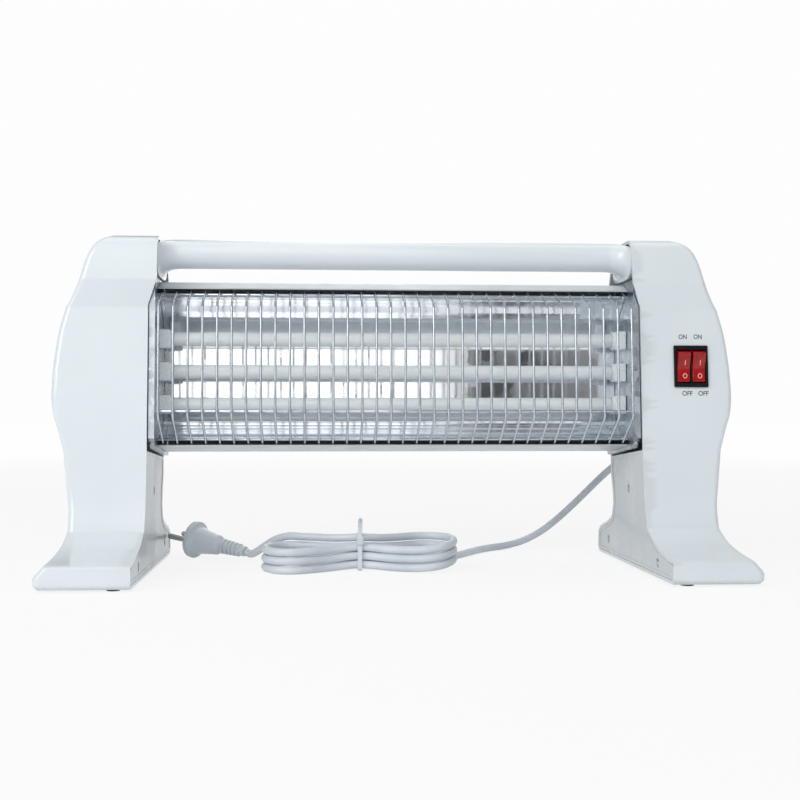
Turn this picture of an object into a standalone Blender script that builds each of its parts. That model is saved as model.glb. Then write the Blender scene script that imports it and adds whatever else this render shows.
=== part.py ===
"""Quartz heater: two moulded side housings that are also the legs, a carrying bar between their tops,
a sheet-metal body with a polished trough and three quartz tubes, a welded wire guard, a double rocker
switch, and a mains lead tied in a hank on the floor. Metres, +Z up, front towards -Y."""

import math

import bmesh
import bpy
from mathutils import Matrix, Vector

MM = 0.001

# Clearances
TOUCH = 0.3 * MM
SLIDE = 0.35 * MM
WELD = 0.001 * MM

# How far a cutter passes beyond the wall that it cuts
CUT = 1.0 * MM
LONG_CUT = 8.0 * MM

# Sides of round shapes, from holes for shanks to the broad bar
TINY_SIDES = 8
SMALL_SIDES = 10
SCREW_SIDES = 12
PIN_SIDES = 14
ROUND_SIDES = 16
TUBE_SIDES = 20

# Edges sharper than these stay crisp in the shading
SHELL_CREASE = math.radians(28)
SHEET_CREASE = math.radians(12)
ROUND_CREASE = math.radians(40)
WIRE_CREASE = math.radians(50)

# The quartz tubes set how long the heater is: caps, end plates, guard and housings follow them
TUBE_HALF_LENGTH = 177.5 * MM
CAP_START = TUBE_HALF_LENGTH - 4.5 * MM
END_PLATE_INNER = TUBE_HALF_LENGTH + 6.5 * MM
END_RIM = 4.4 * MM
COIL_HALF_LENGTH = TUBE_HALF_LENGTH - 11.5 * MM
COIL_LEAD_END = END_PLATE_INNER + 6.0 * MM
GUARD_HALF_SPAN = END_PLATE_INNER - 4.0 * MM

# Side housings, each one a tray that is open on its inner side
WALL = 2.5 * MM
FOOT_HEIGHT = 1.8 * MM
HOUSING_WIDTH = 71.6 * MM
HEAD_LIP = 6.9 * MM
CLEAR_HALF_SPAN = END_PLATE_INNER + END_RIM + 0.5 * MM
HEAD_HALF_SPAN = CLEAR_HALF_SPAN - HEAD_LIP
BULGE_HALF_WIDTH = CLEAR_HALF_SPAN + HOUSING_WIDTH
EDGE_RADIUS = 6.5 * MM
EDGE_STEPS = 4

# Side view of a housing: (height, depth) in millimetres, a crease between two stretches
FRONT_LINE = (
    ((1.8, -102.5), (5.0, -104.5), (18.0, -104.0)),
    ((18.0, -104.0), (20.5, -84.0), (26.0, -61.0), (35.0, -43.0)),
    ((35.0, -43.0), (60.0, -35.5), (95.0, -31.5)),
    ((95.0, -31.5), (203.0, -23.5)),
    ((203.0, -23.5), (224.0, -28.0)),
    ((224.0, -28.0), (245.0, -25.0), (252.0, -22.5), (256.5, -18.5), (258.5, -14.0)),
)
BACK_LINE = (
    ((1.8, 100.0), (7.0, 104.5), (19.0, 103.5), (25.0, 96.0), (30.0, 76.0), (38.0, 58.5), (48.0, 54.5)),
    ((48.0, 54.5), (60.0, 57.0), (75.0, 62.0), (95.0, 63.0)),
    ((95.0, 63.0), (180.0, 62.0), (203.0, 57.0), (224.0, 45.0)),
    ((224.0, 45.0), (245.0, 36.5), (252.0, 33.0), (256.5, 28.0), (258.5, 22.0)),
)

# Front view of a housing: how far inside the widest point its outer side lies
OUTER_LINE = (
    ((1.8, 7.0), (5.0, 5.0), (9.0, 5.0), (13.0, 8.0), (18.0, 12.5)),
    ((18.0, 12.5), (27.0, 14.5), (38.0, 15.0), (48.0, 14.8), (66.0, 12.5), (95.0, 9.3)),
    (
        (95.0, 9.3), (112.0, 4.6), (124.0, 1.0), (136.0, 0.0), (152.0, 0.6), (168.0, 2.2), (185.0, 4.8),
        (203.0, 9.6),
    ),
    (
        (203.0, 9.6), (213.0, 15.5), (224.0, 20.5), (236.0, 23.8), (245.0, 27.2), (252.0, 31.5), (256.5, 37.5),
        (258.5, 42.0),
    ),
)
HOUSING_LEVELS = (
    1.8, 5.0, 9.0, 13.5, 18.0, 20.5, 26.0, 30.5, 35.0, 41.0, 48.0, 60.0, 75.0, 95.0, 105.0, 115.0, 125.0,
    136.0, 150.0, 168.0, 186.0, 203.0, 210.0, 217.0, 224.0, 236.0, 245.0, 252.0, 256.5, 258.5,
)
HEAD_START = 205.0 * MM
HEAD_END = 224.0 * MM

# Inner covers of the legs and their screws
COVER_THICKNESS = 2.2 * MM
COVER_TOP_FRONT = 94.6 * MM
COVER_TOP_BACK = 87.0 * MM
BOSS_RADIUS = 4.6 * MM
BOSS_DEPTH = 5.0 * MM
SCREW_PLACES = ((10.0, 62.5), (70.0, 15.5), (-66.0, 12.5))
SCREW_HEAD_RADIUS = 3.0 * MM
SCREW_HEAD_HEIGHT = 1.6 * MM
SCREW_SHANK_RADIUS = 1.4 * MM
SCREW_LENGTH = 11.0 * MM
HEAD_FLAT = 0.6
HEAD_RIM = 0.4
RECESS_DEPTH = 2.6 * MM
POST_RADIUS = 4.0 * MM

# Rubber feet under toes and heels
RUBBER_RADIUS = 5.0 * MM
RUBBER_CHAMFER = 0.5 * MM
RUBBER_PLACES = ((13.1, -93.0), (16.1, 88.0))

# Carrying bar
BAR_RADIUS = 11.3 * MM
BAR_DEPTH = 2.0 * MM
BAR_HEIGHT = 247.0 * MM
FLARE_LENGTH = 15.0 * MM
FLARE_DEPTH = 5.5 * MM
FLARE_HEIGHT = 241.9 * MM
FLARE_HALF_DEPTH = 27.3 * MM
FLARE_HALF_HEIGHT = 13.6 * MM
FLARE_PLATE = 3.0 * MM
FLARE_POWER = 3.2
BAR_SIDES = 24
FLARE_STEPS = 6

# Sheet-metal body
SHEET = 0.8 * MM
END_PLATE_OUTLINE = (
    (-16.5, 95.9), (-27.0, 104.0), (-20.7, 203.0), (-20.7, 224.0), (-17.0, 227.4), (35.0, 227.4),
    (46.5, 214.0), (55.0, 196.0), (58.5, 170.0), (58.5, 104.0), (54.0, 88.6),
)
LEAD_HOLE_RADIUS = 2.6 * MM
PLATE_SCREW_RADIUS = 1.1 * MM
PLATE_SCREW_LENGTH = 6.0 * MM
PLATE_HEAD_RADIUS = 1.7 * MM
PLATE_HEAD_HEIGHT = 1.1 * MM
BACK_PANEL_LINE = (
    (-7.0, 219.4), (-2.0, 221.6), (6.0, 225.3), (16.0, 226.4), (30.0, 224.0), (41.0, 213.5), (50.0, 196.0),
    (54.0, 172.0), (54.0, 116.0), (50.0, 98.0), (44.0, 92.0), (-6.0, 98.2),
)
REFLECTOR_LINE = (
    (-4.8, 215.0), (-2.0, 216.2), (4.0, 214.0), (22.0, 200.0), (31.0, 186.0), (33.0, 156.0), (31.0, 126.0),
    (22.0, 112.0), (2.0, 103.6), (-3.6, 102.4),
)

# Quartz tubes, their coils and ceramic end caps
TUBE_HEIGHTS = (181.0, 155.5, 130.0)
TUBE_NAMES = ("upper", "middle", "lower")
TUBE_DEPTH = 4.0 * MM
TUBE_RADIUS = 5.5 * MM
TUBE_WALL = 1.1 * MM
CAP_SIZE = 14.4 * MM
CAP_CHAMFER = 1.0 * MM
COIL_RADIUS = 2.9 * MM
COIL_WIRE_RADIUS = 0.45 * MM
COIL_TURNS = 12
COIL_POINTS_PER_TURN = 8
COIL_TAIL = 3.0 * MM
BUS_WIDTH = 8.0 * MM

# Wire guard
GUARD_WIRES = 34
WIRE_RADIUS = 0.95 * MM
RAIL_RADIUS = 1.1 * MM
GUARD_LINE = (
    (-4.6, 217.6), (-7.5, 216.2), (-27.5, 207.6), (-30.4, 203.0), (-34.8, 122.0), (-33.0, 118.2), (-8.0, 101.6),
    (-5.0, 99.8),
)
RAIL_TOP = (-7.2, 214.6)
RAIL_BOTTOM = (-7.2, 102.9)
STIFFENER = (-33.1, 124.4)
STIFFENER_END = 1.5 * MM

# Double rocker switch
SWITCH_X = CLEAR_HALF_SPAN + 38.6 * MM
SWITCH_Z = 159.3 * MM
BEZEL_WIDTH = 26.8 * MM
BEZEL_HEIGHT = 32.4 * MM
BEZEL_THICKNESS = 1.6 * MM
BEZEL_BEVEL = 0.45 * MM
SWITCH_BODY_DEPTH = 20.0 * MM
SWITCH_BODY_WIDTH = 23.6 * MM
SWITCH_BODY_HEIGHT = 28.8 * MM
POCKET_DEPTH = 11.0 * MM
ROCKER_REACH = 12.6 * MM
ROCKER_WIDTH = 9.9 * MM
ROCKER_BAR = 1.2 * MM
ROCKER_PIVOT_DEPTH = 2.6 * MM
ROCKER_THICKNESS = 4.2 * MM
ROCKER_RISE = 6.155 * MM
ROCKER_SKIRT = 2.0 * MM
ROCKER_ARC_STEPS = 5
ROCKER_HALF_TRAVEL = math.radians(10.0)

# Mains lead, gland and plug
CORD_RADIUS = 3.1 * MM
GLAND_X = CLEAR_HALF_SPAN + 17.1 * MM
GLAND_Z = 79.0 * MM
GLAND_NECK = 4.3 * MM
GLAND_PROFILE = (
    (0.0, -6.0), (6.1, -6.0), (6.1, -3.7), (4.3, -3.7), (4.3, 1.2), (6.9, 1.2), (6.9, 4.6), (5.2, 5.6),
    (4.0, 30.0), (0.0, 30.0),
)
PLUG_ENTRY_X = -121.0 * MM
PLUG_ENTRY_Y = 58.0 * MM
PLUG_HEADING = math.radians(150.0)
PLUG_TILT = math.radians(8.5)
PLUG_FLANGE_RADIUS = 15.5 * MM
PLUG_PROFILE = (
    (0.0, 0.0), (14.6, 0.0), (15.5, 1.0), (15.5, 5.0), (13.0, 6.5), (11.2, 9.0), (10.2, 15.0), (8.6, 24.0),
    (7.2, 29.0), (5.0, 31.0), (5.0, 33.0), (6.6, 33.6), (6.6, 36.0), (4.7, 36.6), (4.7, 39.0), (6.1, 39.6),
    (6.1, 42.0), (4.5, 42.6), (4.5, 45.0), (5.6, 45.6), (5.6, 48.0), (4.3, 48.6), (4.3, 54.0), (0.0, 54.0),
)
PIN_PROFILE = ((0.0, -19.0), (1.7, -18.5), (2.4, -17.0), (2.4, -0.3), (0.0, -0.3))
PIN_HALF_SPACING = 9.5 * MM
LEAD_ROUTE = (
    (1.0, 103.0, 78.6), (0.993, 114.0, 75.5), (0.966, 124.5, 68.0), (0.917, 132.5, 56.0), (0.854, 137.5, 42.0),
    (0.782, 139.5, 28.0), (0.704, 138.5, 16.0), (0.621, 134.0, 8.0), (0.534, 126.0, 4.2), (0.451, 114.0, 3.5),
    (0.388, 99.0, 3.3), (0.335, 82.0, 3.3), (0.286, 66.0, 3.3), (0.233, 53.0, 3.3),
)
PLUG_ROUTE = ((-74.0, 23.5, 24.1), (-86.0, 32.5, 23.4), (-98.0, 42.5, 18.4))
FLOOR_GAP = 0.2 * MM
LEAD_STRAIGHT = 12.0 * MM
TAIL_STRAIGHT = 8.0 * MM
LEAD_SPACING = 15.5 * MM
TAIL_SPACING = 9.3 * MM
ROUTE_STEPS = 20

# Hank of the lead, tied at its waist
HANK_X = -28.0 * MM
HANK_Y = 2.0 * MM
HANK_LOOPS = 3
HANK_POINTS_PER_LOOP = 24
HANK_HALF_LENGTH = 74.0 * MM
HANK_HALF_WIDTH = 47.0 * MM
HANK_WAIST = 3.45 * MM
HANK_PITCH = 6.85 * MM
HANK_START = math.radians(52.0)
HANK_END = math.radians(108.0)
HANK_CLIMB_START = math.radians(-75.0)
HANK_CLIMB_END = math.radians(20.0)
HANK_LIFT_SPREAD = 16.0 * MM
TIE_THICKNESS = 1.0 * MM
TIE_WIDTH = 3.6 * MM
TIE_CLEARANCE = 0.35 * MM

parts = bpy.data.collections.new("quartz_heater")
cutters = bpy.data.collections.new("cutters")


def clear_scene():
    """Take away what the file starts with and open the two collections."""
    for item in list(bpy.data.objects):
        bpy.data.objects.remove(item, do_unlink=True)
    bpy.context.scene.collection.children.link(parts)
    bpy.context.scene.collection.children.link(cutters)
    cutters.hide_render = True


def finish(name, colour, roughness, metallic=0.0):
    """A plain shader for one kind of surface."""
    material = bpy.data.materials.get(name) or bpy.data.materials.new(name)
    material.use_nodes = True
    shader = material.node_tree.nodes["Principled BSDF"]
    shader.inputs["Base Color"].default_value = (*colour, 1.0)
    shader.inputs["Roughness"].default_value = roughness
    shader.inputs["Metallic"].default_value = metallic
    return material


def white_gloss_plastic():
    return finish("white_gloss_plastic", (0.80, 0.84, 0.87), 0.18)


def grey_cover_plastic():
    return finish("grey_cover_plastic", (0.68, 0.72, 0.74), 0.3)


def red_plastic():
    return finish("red_plastic", (0.58, 0.01, 0.015), 0.2)


def black_plastic():
    return finish("black_plastic", (0.012, 0.012, 0.014), 0.3)


def cord_plastic():
    return finish("cord_plastic", (0.66, 0.69, 0.71), 0.42)


def rubber():
    return finish("rubber", (0.05, 0.05, 0.05), 0.8)


def galvanised_steel():
    return finish("galvanised_steel", (0.58, 0.64, 0.68), 0.35, 1.0)


def painted_sheet():
    return finish("painted_sheet", (0.74, 0.77, 0.78), 0.45)


def polished_sheet():
    return finish("polished_sheet", (0.78, 0.81, 0.83), 0.12, 1.0)


def bright_wire():
    return finish("bright_wire", (0.74, 0.77, 0.8), 0.14, 1.0)


def screw_steel():
    return finish("screw_steel", (0.6, 0.6, 0.58), 0.3, 1.0)


def frosted_quartz():
    return finish("frosted_quartz", (0.86, 0.88, 0.89), 0.5)


def white_ceramic():
    return finish("white_ceramic", (0.8, 0.81, 0.78), 0.6)


def resistance_wire():
    return finish("resistance_wire", (0.25, 0.22, 0.2), 0.5, 1.0)


def place(obj, collection, material=None):
    """Put an object in its collection with its material."""
    collection.objects.link(obj)
    if material:
        obj.data.materials.clear()
        obj.data.materials.append(material)
    if collection is cutters:
        obj.display_type = "WIRE"
        obj.hide_render = True
    return obj


def from_bmesh(name, shape, collection=None, material=None, smooth_angle=None):
    """Turn a bmesh into an object with outward faces."""
    bmesh.ops.recalc_face_normals(shape, faces=shape.faces)
    if shape.calc_volume(signed=True) < 0:
        bmesh.ops.reverse_faces(shape, faces=shape.faces)
    mesh = bpy.data.meshes.new(name)
    shape.to_mesh(mesh)
    shape.free()
    if smooth_angle is not None:
        mesh.shade_smooth()
        mesh.set_sharp_from_angle(angle=smooth_angle)
    return place(bpy.data.objects.new(name, mesh), collection or parts, material)


def box(name, low, high, collection=None, material=None, bevel=0.0, segments=2, matrix=Matrix()):
    """An upright box between two corners, with rounded edges where asked, moved by the matrix."""
    shape = bmesh.new()
    bmesh.ops.create_cube(shape, size=1.0)
    size = Vector(high) - Vector(low)
    bmesh.ops.scale(shape, vec=size, verts=shape.verts)
    bmesh.ops.translate(shape, vec=(Vector(low) + Vector(high)) / 2, verts=shape.verts)
    if bevel:
        edges = list(shape.edges)
        bmesh.ops.bevel(shape, geom=edges, offset=bevel, segments=segments, profile=0.5, affect="EDGES")
    shape.transform(matrix)
    return from_bmesh(name, shape, collection, material)


def rod(name, start, end, radius, sides, collection=None, material=None):
    """A plain cylinder from one point to another."""
    start = Vector(start)
    axis = Vector(end) - start
    shape = bmesh.new()
    bmesh.ops.create_cone(
        shape, cap_ends=True, segments=sides, radius1=radius, radius2=radius, depth=axis.length,
    )
    turn = axis.to_track_quat("Z", "Y").to_matrix().to_4x4()
    shape.transform(Matrix.Translation(start + axis / 2) @ turn)
    return from_bmesh(name, shape, collection, material, ROUND_CREASE)


def joined(name, pieces, collection=None):
    """Several separate cutters or posts as one helper object."""
    shape = bmesh.new()
    for piece in pieces:
        shape.from_mesh(piece.data)
        bpy.data.objects.remove(piece, do_unlink=True)
    return from_bmesh(name, shape, collection or cutters)


def combine(obj, other, operation):
    """Cut or join with another object by an exact Boolean."""
    modifier = obj.modifiers.new(f"{operation.lower()}_{other.name}", "BOOLEAN")
    modifier.operation = operation
    modifier.solver = "EXACT"
    modifier.object = other
    return obj


def evaluated_mesh(obj):
    """The mesh that an object shows, with its loose caps welded."""
    bpy.context.view_layer.update()
    graph = bpy.context.evaluated_depsgraph_get()
    mesh = bpy.data.meshes.new_from_object(obj.evaluated_get(graph))
    shape = bmesh.new()
    shape.from_mesh(mesh)
    bmesh.ops.remove_doubles(shape, verts=shape.verts, dist=WELD)
    shape.to_mesh(mesh)
    shape.free()
    return mesh


def curve_object(name, loops, closed, collection, material):
    """A curve of straight stretches through the given points."""
    curve = bpy.data.curves.new(name, "CURVE")
    for loop in loops:
        spline = curve.splines.new("POLY")
        spline.points.add(len(loop) - 1)
        for point, place_of in zip(spline.points, loop):
            point.co = (*place_of, 1.0)
        spline.use_cyclic_u = closed
    return place(bpy.data.objects.new(name, curve), collection, material)


def tube(name, points, radius, resolution=2, collection=None, material=None):
    """A round wire or cord through the given points."""
    obj = curve_object(name, [points], False, collection or parts, material)
    obj.data.dimensions = "3D"
    obj.data.bevel_depth = radius
    obj.data.bevel_resolution = resolution
    obj.data.use_fill_caps = True
    return obj


def tube_mesh(name, points, radius, resolution, collection):
    """The same wire as a mesh, for joining with others."""
    guide = tube(name + "_guide", points, radius, resolution, collection)
    mesh = evaluated_mesh(guide)
    bpy.data.objects.remove(guide, do_unlink=True)
    return place(bpy.data.objects.new(name, mesh), collection)


def side_plate(name, loops, low_x, high_x, collection=None, material=None):
    """A flat plate across X: its outline and holes are (depth, height) points."""
    flat = [[(y, z, 0.0) for y, z in loop] for loop in loops]
    guide = curve_object(name + "_guide", flat, True, cutters, None)
    guide.data.dimensions = "2D"
    guide.data.fill_mode = "BOTH"
    guide.data.extrude = abs(high_x - low_x) / 2
    mesh = evaluated_mesh(guide)
    bpy.data.objects.remove(guide, do_unlink=True)
    shape = bmesh.new()
    shape.from_mesh(mesh)
    to_side = Matrix(((0, 0, 1, (low_x + high_x) / 2), (1, 0, 0, 0), (0, 1, 0, 0), (0, 0, 0, 1)))
    shape.transform(to_side)
    return from_bmesh(name, shape, collection, material)


def circle(centre, radius, sides):
    """Points round a circle in a plane."""
    return [
        (
            centre[0] + radius * math.cos(math.tau * i / sides),
            centre[1] + radius * math.sin(math.tau * i / sides),
        )
        for i in range(sides)
    ]


def turned(name, profile, steps, matrix=Matrix(), collection=None, material=None):
    """A turned piece: a profile of (radius, place along the axis) spun round Z, then moved."""
    shape = bmesh.new()
    corners = [shape.verts.new((radius, 0.0, along)) for radius, along in profile]
    for first, second in zip(corners, corners[1:]):
        shape.edges.new((first, second))
    bmesh.ops.spin(
        shape, geom=list(shape.verts) + list(shape.edges), axis=(0, 0, 1), cent=(0, 0, 0),
        angle=math.tau, steps=steps, use_merge=True,
    )
    bmesh.ops.remove_doubles(shape, verts=shape.verts, dist=WELD)
    shape.transform(matrix)
    return from_bmesh(name, shape, collection, material, ROUND_CREASE)


def loft(sections, cap_start=True, cap_end=True, closed=True):
    """A skin over sections that have the same number of points."""
    shape = bmesh.new()
    rings = [[shape.verts.new(point) for point in section] for section in sections]
    count = len(rings[0])
    steps = count if closed else count - 1
    for ring, following in zip(rings, rings[1:]):
        for i in range(steps):
            j = (i + 1) % count
            shape.faces.new((ring[i], ring[j], following[j], following[i]))
    if cap_start:
        shape.faces.new(list(reversed(rings[0])))
    if cap_end:
        shape.faces.new(rings[-1])
    return shape


def smooth_value(points, at):
    """The value at one place of a smooth line through (place, value) points, with no overshoot."""
    places = [point[0] for point in points]
    values = [point[1] for point in points]
    last = len(points) - 1
    steps = [places[i + 1] - places[i] for i in range(last)]
    slopes = [(values[i + 1] - values[i]) / steps[i] for i in range(last)]
    bends = [slopes[0]]
    for before, after in zip(slopes, slopes[1:]):
        bends.append(2 * before * after / (before + after) if before * after > 0 else 0.0)
    bends.append(slopes[-1])
    i = min(max(sum(at >= place_at for place_at in places) - 1, 0), last - 1)
    t = min(max((at - places[i]) / steps[i], 0.0), 1.0)
    rise = (2 * t**3 - 3 * t**2 + 1) * values[i] + (3 * t**2 - 2 * t**3) * values[i + 1]
    return rise + steps[i] * ((t**3 - 2 * t**2 + t) * bends[i] + (t**3 - t**2) * bends[i + 1])


def line_value(stretches, height):
    """The value of a creased line at a height in metres, in metres."""
    level = height / MM
    for stretch in stretches:
        if level <= stretch[-1][0]:
            return smooth_value(stretch, level) * MM
    return stretches[-1][-1][1] * MM


def front_depth(height):
    return line_value(FRONT_LINE, height)


def back_depth(height):
    return line_value(BACK_LINE, height)


def outer_reach(height):
    return BULGE_HALF_WIDTH - line_value(OUTER_LINE, height)


def rim_reach(height):
    """Where the open inner edge of a housing lies: straight down the leg, slanting in to the head."""
    share = min(max((height - HEAD_START) / (HEAD_END - HEAD_START), 0.0), 1.0)
    return CLEAR_HALF_SPAN + (HEAD_HALF_SPAN - CLEAR_HALF_SPAN) * share


def housing_section(height, side):
    """One level of a housing's skin, from its front rim round the outer face to its back rim."""
    rim, reach = rim_reach(height), outer_reach(height)
    front, back = front_depth(height), back_depth(height)
    turns = [math.pi / 2 * i / EDGE_STEPS for i in range(EDGE_STEPS + 1)]
    section = [(rim, front)]
    for turn in turns:
        across, along = 1 - math.sin(turn), 1 - math.cos(turn)
        section.append((reach - EDGE_RADIUS * across, front + EDGE_RADIUS * along))
    for turn in turns:
        across, along = 1 - math.cos(turn), 1 - math.sin(turn)
        section.append((reach - EDGE_RADIUS * across, back - EDGE_RADIUS * along))
    section.append((rim, back))
    return [(side * x, y, height) for x, y in section]


def screw_posts(side):
    """Posts inside a housing, from its outer wall to the inner cover's bosses."""
    posts = []
    for number, (depth, height) in enumerate(SCREW_PLACES):
        start = CLEAR_HALF_SPAN + BOSS_DEPTH + TOUCH
        end = outer_reach(height * MM) - WALL / 2
        spot = (depth * MM, height * MM)
        near, far = (side * start, *spot), (side * end, *spot)
        posts.append(rod(f"post_{number}", near, far, POST_RADIUS, SCREW_SIDES, cutters))
    return joined(f"posts_{side}", posts)


def screw_bores(side):
    """Blind holes in the posts for the cover screws."""
    bores = []
    for number, (depth, height) in enumerate(SCREW_PLACES):
        spot = (depth * MM, height * MM)
        start = CLEAR_HALF_SPAN + BOSS_DEPTH - CUT
        end = CLEAR_HALF_SPAN + RECESS_DEPTH + SCREW_LENGTH + CUT
        radius = SCREW_SHANK_RADIUS + SLIDE
        near, far = (side * start, *spot), (side * end, *spot)
        bores.append(rod(f"bore_{number}", near, far, radius, SMALL_SIDES, cutters))
    return joined(f"post_bores_{side}", bores)


def switch_frame():
    """Where the switch sits: its origin on the housing's front face, its Y into the housing."""
    slope = math.atan2(
        front_depth(SWITCH_Z + LONG_CUT) - front_depth(SWITCH_Z - LONG_CUT), 2 * LONG_CUT,
    )
    return Matrix.Translation((SWITCH_X, front_depth(SWITCH_Z), SWITCH_Z)) @ Matrix.Rotation(-slope, 4, "X")


def switch_opening():
    """The hole in the right housing that the switch body passes through."""
    half_width = SWITCH_BODY_WIDTH / 2 + SLIDE
    half_height = SWITCH_BODY_HEIGHT / 2 + SLIDE
    low = (-half_width, -LONG_CUT, -half_height)
    return box("switch_opening", low, (half_width, LONG_CUT, half_height), cutters, matrix=switch_frame())


def gland_opening():
    """The hole in the right housing's back wall for the cord gland."""
    back = back_depth(GLAND_Z)
    start, end = (GLAND_X, back - LONG_CUT, GLAND_Z), (GLAND_X, back + LONG_CUT, GLAND_Z)
    return rod("gland_opening", start, end, GLAND_NECK + SLIDE, TUBE_SIDES, cutters)


def housing(name, side):
    """A moulded side housing: one hollow tray with rounded outer edges and screw posts inside."""
    sections = [housing_section(level * MM, side) for level in HOUSING_LEVELS]
    shape = loft(sections, closed=False)
    outward = shape.faces[:][EDGE_STEPS * 2]
    bmesh.ops.recalc_face_normals(shape, faces=shape.faces)
    shape.normal_update()
    if outward.normal.x * side < 0:
        bmesh.ops.reverse_faces(shape, faces=shape.faces)
    mesh = bpy.data.meshes.new(name)
    shape.to_mesh(mesh)
    shape.free()
    mesh.shade_smooth()
    mesh.set_sharp_from_angle(angle=SHELL_CREASE)
    obj = place(bpy.data.objects.new(name, mesh), parts, white_gloss_plastic())
    wall = obj.modifiers.new("wall", "SOLIDIFY")
    wall.thickness = WALL
    wall.offset = -1.0
    wall.use_even_offset = True
    combine(obj, screw_posts(side), "UNION")
    combine(obj, screw_bores(side), "DIFFERENCE")
    return obj


def inset(outline, distance):
    """An outline drawn in by a distance, corner by corner."""
    count = len(outline)
    area = sum(
        outline[i][0] * outline[(i + 1) % count][1] - outline[(i + 1) % count][0] * outline[i][1]
        for i in range(count)
    )
    turn = 1 if area > 0 else -1
    drawn = []
    for i in range(count):
        here = Vector(outline[i])
        before = (here - Vector(outline[i - 1])).normalized()
        after = (Vector(outline[(i + 1) % count]) - here).normalized()
        normal_before = Vector((-before.y, before.x)) * turn
        normal_after = Vector((-after.y, after.x)) * turn
        mitre = (normal_before + normal_after) / (1 + normal_before.dot(normal_after))
        drawn.append(tuple(here + mitre * distance))
    return drawn


def cover_outline():
    """The inner cover's outline: the leg's side view, drawn in to lie inside the housing's wall."""
    margin = WALL + TOUCH
    levels = [level * MM for level in HOUSING_LEVELS if level * MM < COVER_TOP_BACK]
    top_front = COVER_TOP_FRONT + margin
    top_back = COVER_TOP_BACK + margin
    outline = [(front_depth(level), level) for level in levels]
    outline.append((front_depth(top_front), top_front))
    outline.append((back_depth(top_back), top_back))
    outline += [(back_depth(level), level) for level in reversed(levels)]
    return inset(outline, margin)


def inner_cover(name, side):
    """The flat cover that closes a leg, with three screw bosses whose heads sit in recesses."""
    spots = [(depth * MM, height * MM) for depth, height in SCREW_PLACES]
    outer, inner = side * (CLEAR_HALF_SPAN + COVER_THICKNESS), side * CLEAR_HALF_SPAN
    obj = side_plate(name, [cover_outline()], inner, outer, parts, grey_cover_plastic())
    boss_start, boss_end = side * (CLEAR_HALF_SPAN + CUT), side * (CLEAR_HALF_SPAN + BOSS_DEPTH)
    bosses = [
        rod(f"boss_{i}", (boss_start, *spot), (boss_end, *spot), BOSS_RADIUS, ROUND_SIDES, cutters)
        for i, spot in enumerate(spots)
    ]
    combine(obj, joined(f"bosses_{side}", bosses), "UNION")
    recesses = []
    for i, spot in enumerate(spots):
        start, floor = side * (CLEAR_HALF_SPAN - CUT), side * (CLEAR_HALF_SPAN + RECESS_DEPTH)
        head = SCREW_HEAD_RADIUS + SLIDE
        shank = SCREW_SHANK_RADIUS + SLIDE
        end = side * (CLEAR_HALF_SPAN + BOSS_DEPTH + CUT)
        wide = rod(f"recess_{i}", (start, *spot), (floor, *spot), head, ROUND_SIDES, cutters)
        narrow = rod(f"shank_hole_{i}", (start, *spot), (end, *spot), shank, SMALL_SIDES, cutters)
        combine(wide, narrow, "UNION")
        mesh = evaluated_mesh(wide)
        bpy.data.objects.remove(wide, do_unlink=True)
        bpy.data.objects.remove(narrow, do_unlink=True)
        recesses.append(place(bpy.data.objects.new(f"recess_{i}", mesh), cutters))
    combine(obj, joined(f"recesses_{side}", recesses), "DIFFERENCE")
    return obj


def screw(name, seat, direction, head_radius, head_height, shank_radius, length):
    """A pan-head screw: its head's underside lies a touch off the seat, its shank runs along the direction."""
    profile = (
        (0.0, -head_height), (head_radius * HEAD_FLAT, -head_height), (head_radius, -head_height * HEAD_RIM),
        (head_radius, 0.0), (shank_radius, 0.0), (shank_radius, length - shank_radius), (0.0, length),
    )
    direction = Vector(direction).normalized()
    turn = direction.to_track_quat("Z", "Y").to_matrix().to_4x4()
    spot = Matrix.Translation(Vector(seat) - direction * TOUCH)
    return turned(name, profile, SCREW_SIDES, spot @ turn, parts, screw_steel())


def cover_screws(side_name, side):
    """Three screws that hold one inner cover."""
    for number, (depth, height) in enumerate(SCREW_PLACES, start=1):
        seat = (side * (CLEAR_HALF_SPAN + RECESS_DEPTH), depth * MM, height * MM)
        screw(
            f"{side_name}_cover_screw_{number}", seat, (side, 0, 0), SCREW_HEAD_RADIUS, SCREW_HEAD_HEIGHT,
            SCREW_SHANK_RADIUS, SCREW_LENGTH,
        )


def rubber_feet(side_name, side):
    """A round rubber foot under the toe and one under the heel."""
    for place_name, (outward, depth) in zip(("toe", "heel"), RUBBER_PLACES):
        thick = FOOT_HEIGHT - TOUCH
        profile = (
            (0.0, thick), (RUBBER_RADIUS, thick), (RUBBER_RADIUS, RUBBER_CHAMFER),
            (RUBBER_RADIUS - RUBBER_CHAMFER, 0.0), (0.0, 0.0),
        )
        spot = Matrix.Translation((side * (CLEAR_HALF_SPAN + outward * MM), depth * MM, 0.0))
        turned(f"{side_name}_{place_name}_foot", profile, TUBE_SIDES, spot, parts, rubber())


def bar_section(reach, share):
    """A section of the carrying bar: round along the bar, growing to a broad rounded end plate."""
    grow = 1 - math.sqrt(1 - share**2)
    section = []
    for i in range(BAR_SIDES):
        turn = math.tau * i / BAR_SIDES
        across, up = math.cos(turn), math.sin(turn)
        round_point = Vector((BAR_DEPTH + BAR_RADIUS * across, BAR_HEIGHT + BAR_RADIUS * up))
        power = 2 / FLARE_POWER
        broad_point = Vector((
            FLARE_DEPTH + FLARE_HALF_DEPTH * math.copysign(abs(across) ** power, across),
            FLARE_HEIGHT + FLARE_HALF_HEIGHT * math.copysign(abs(up) ** power, up),
        ))
        point = round_point.lerp(broad_point, grow)
        section.append((reach, point.x, point.y))
    return section


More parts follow.
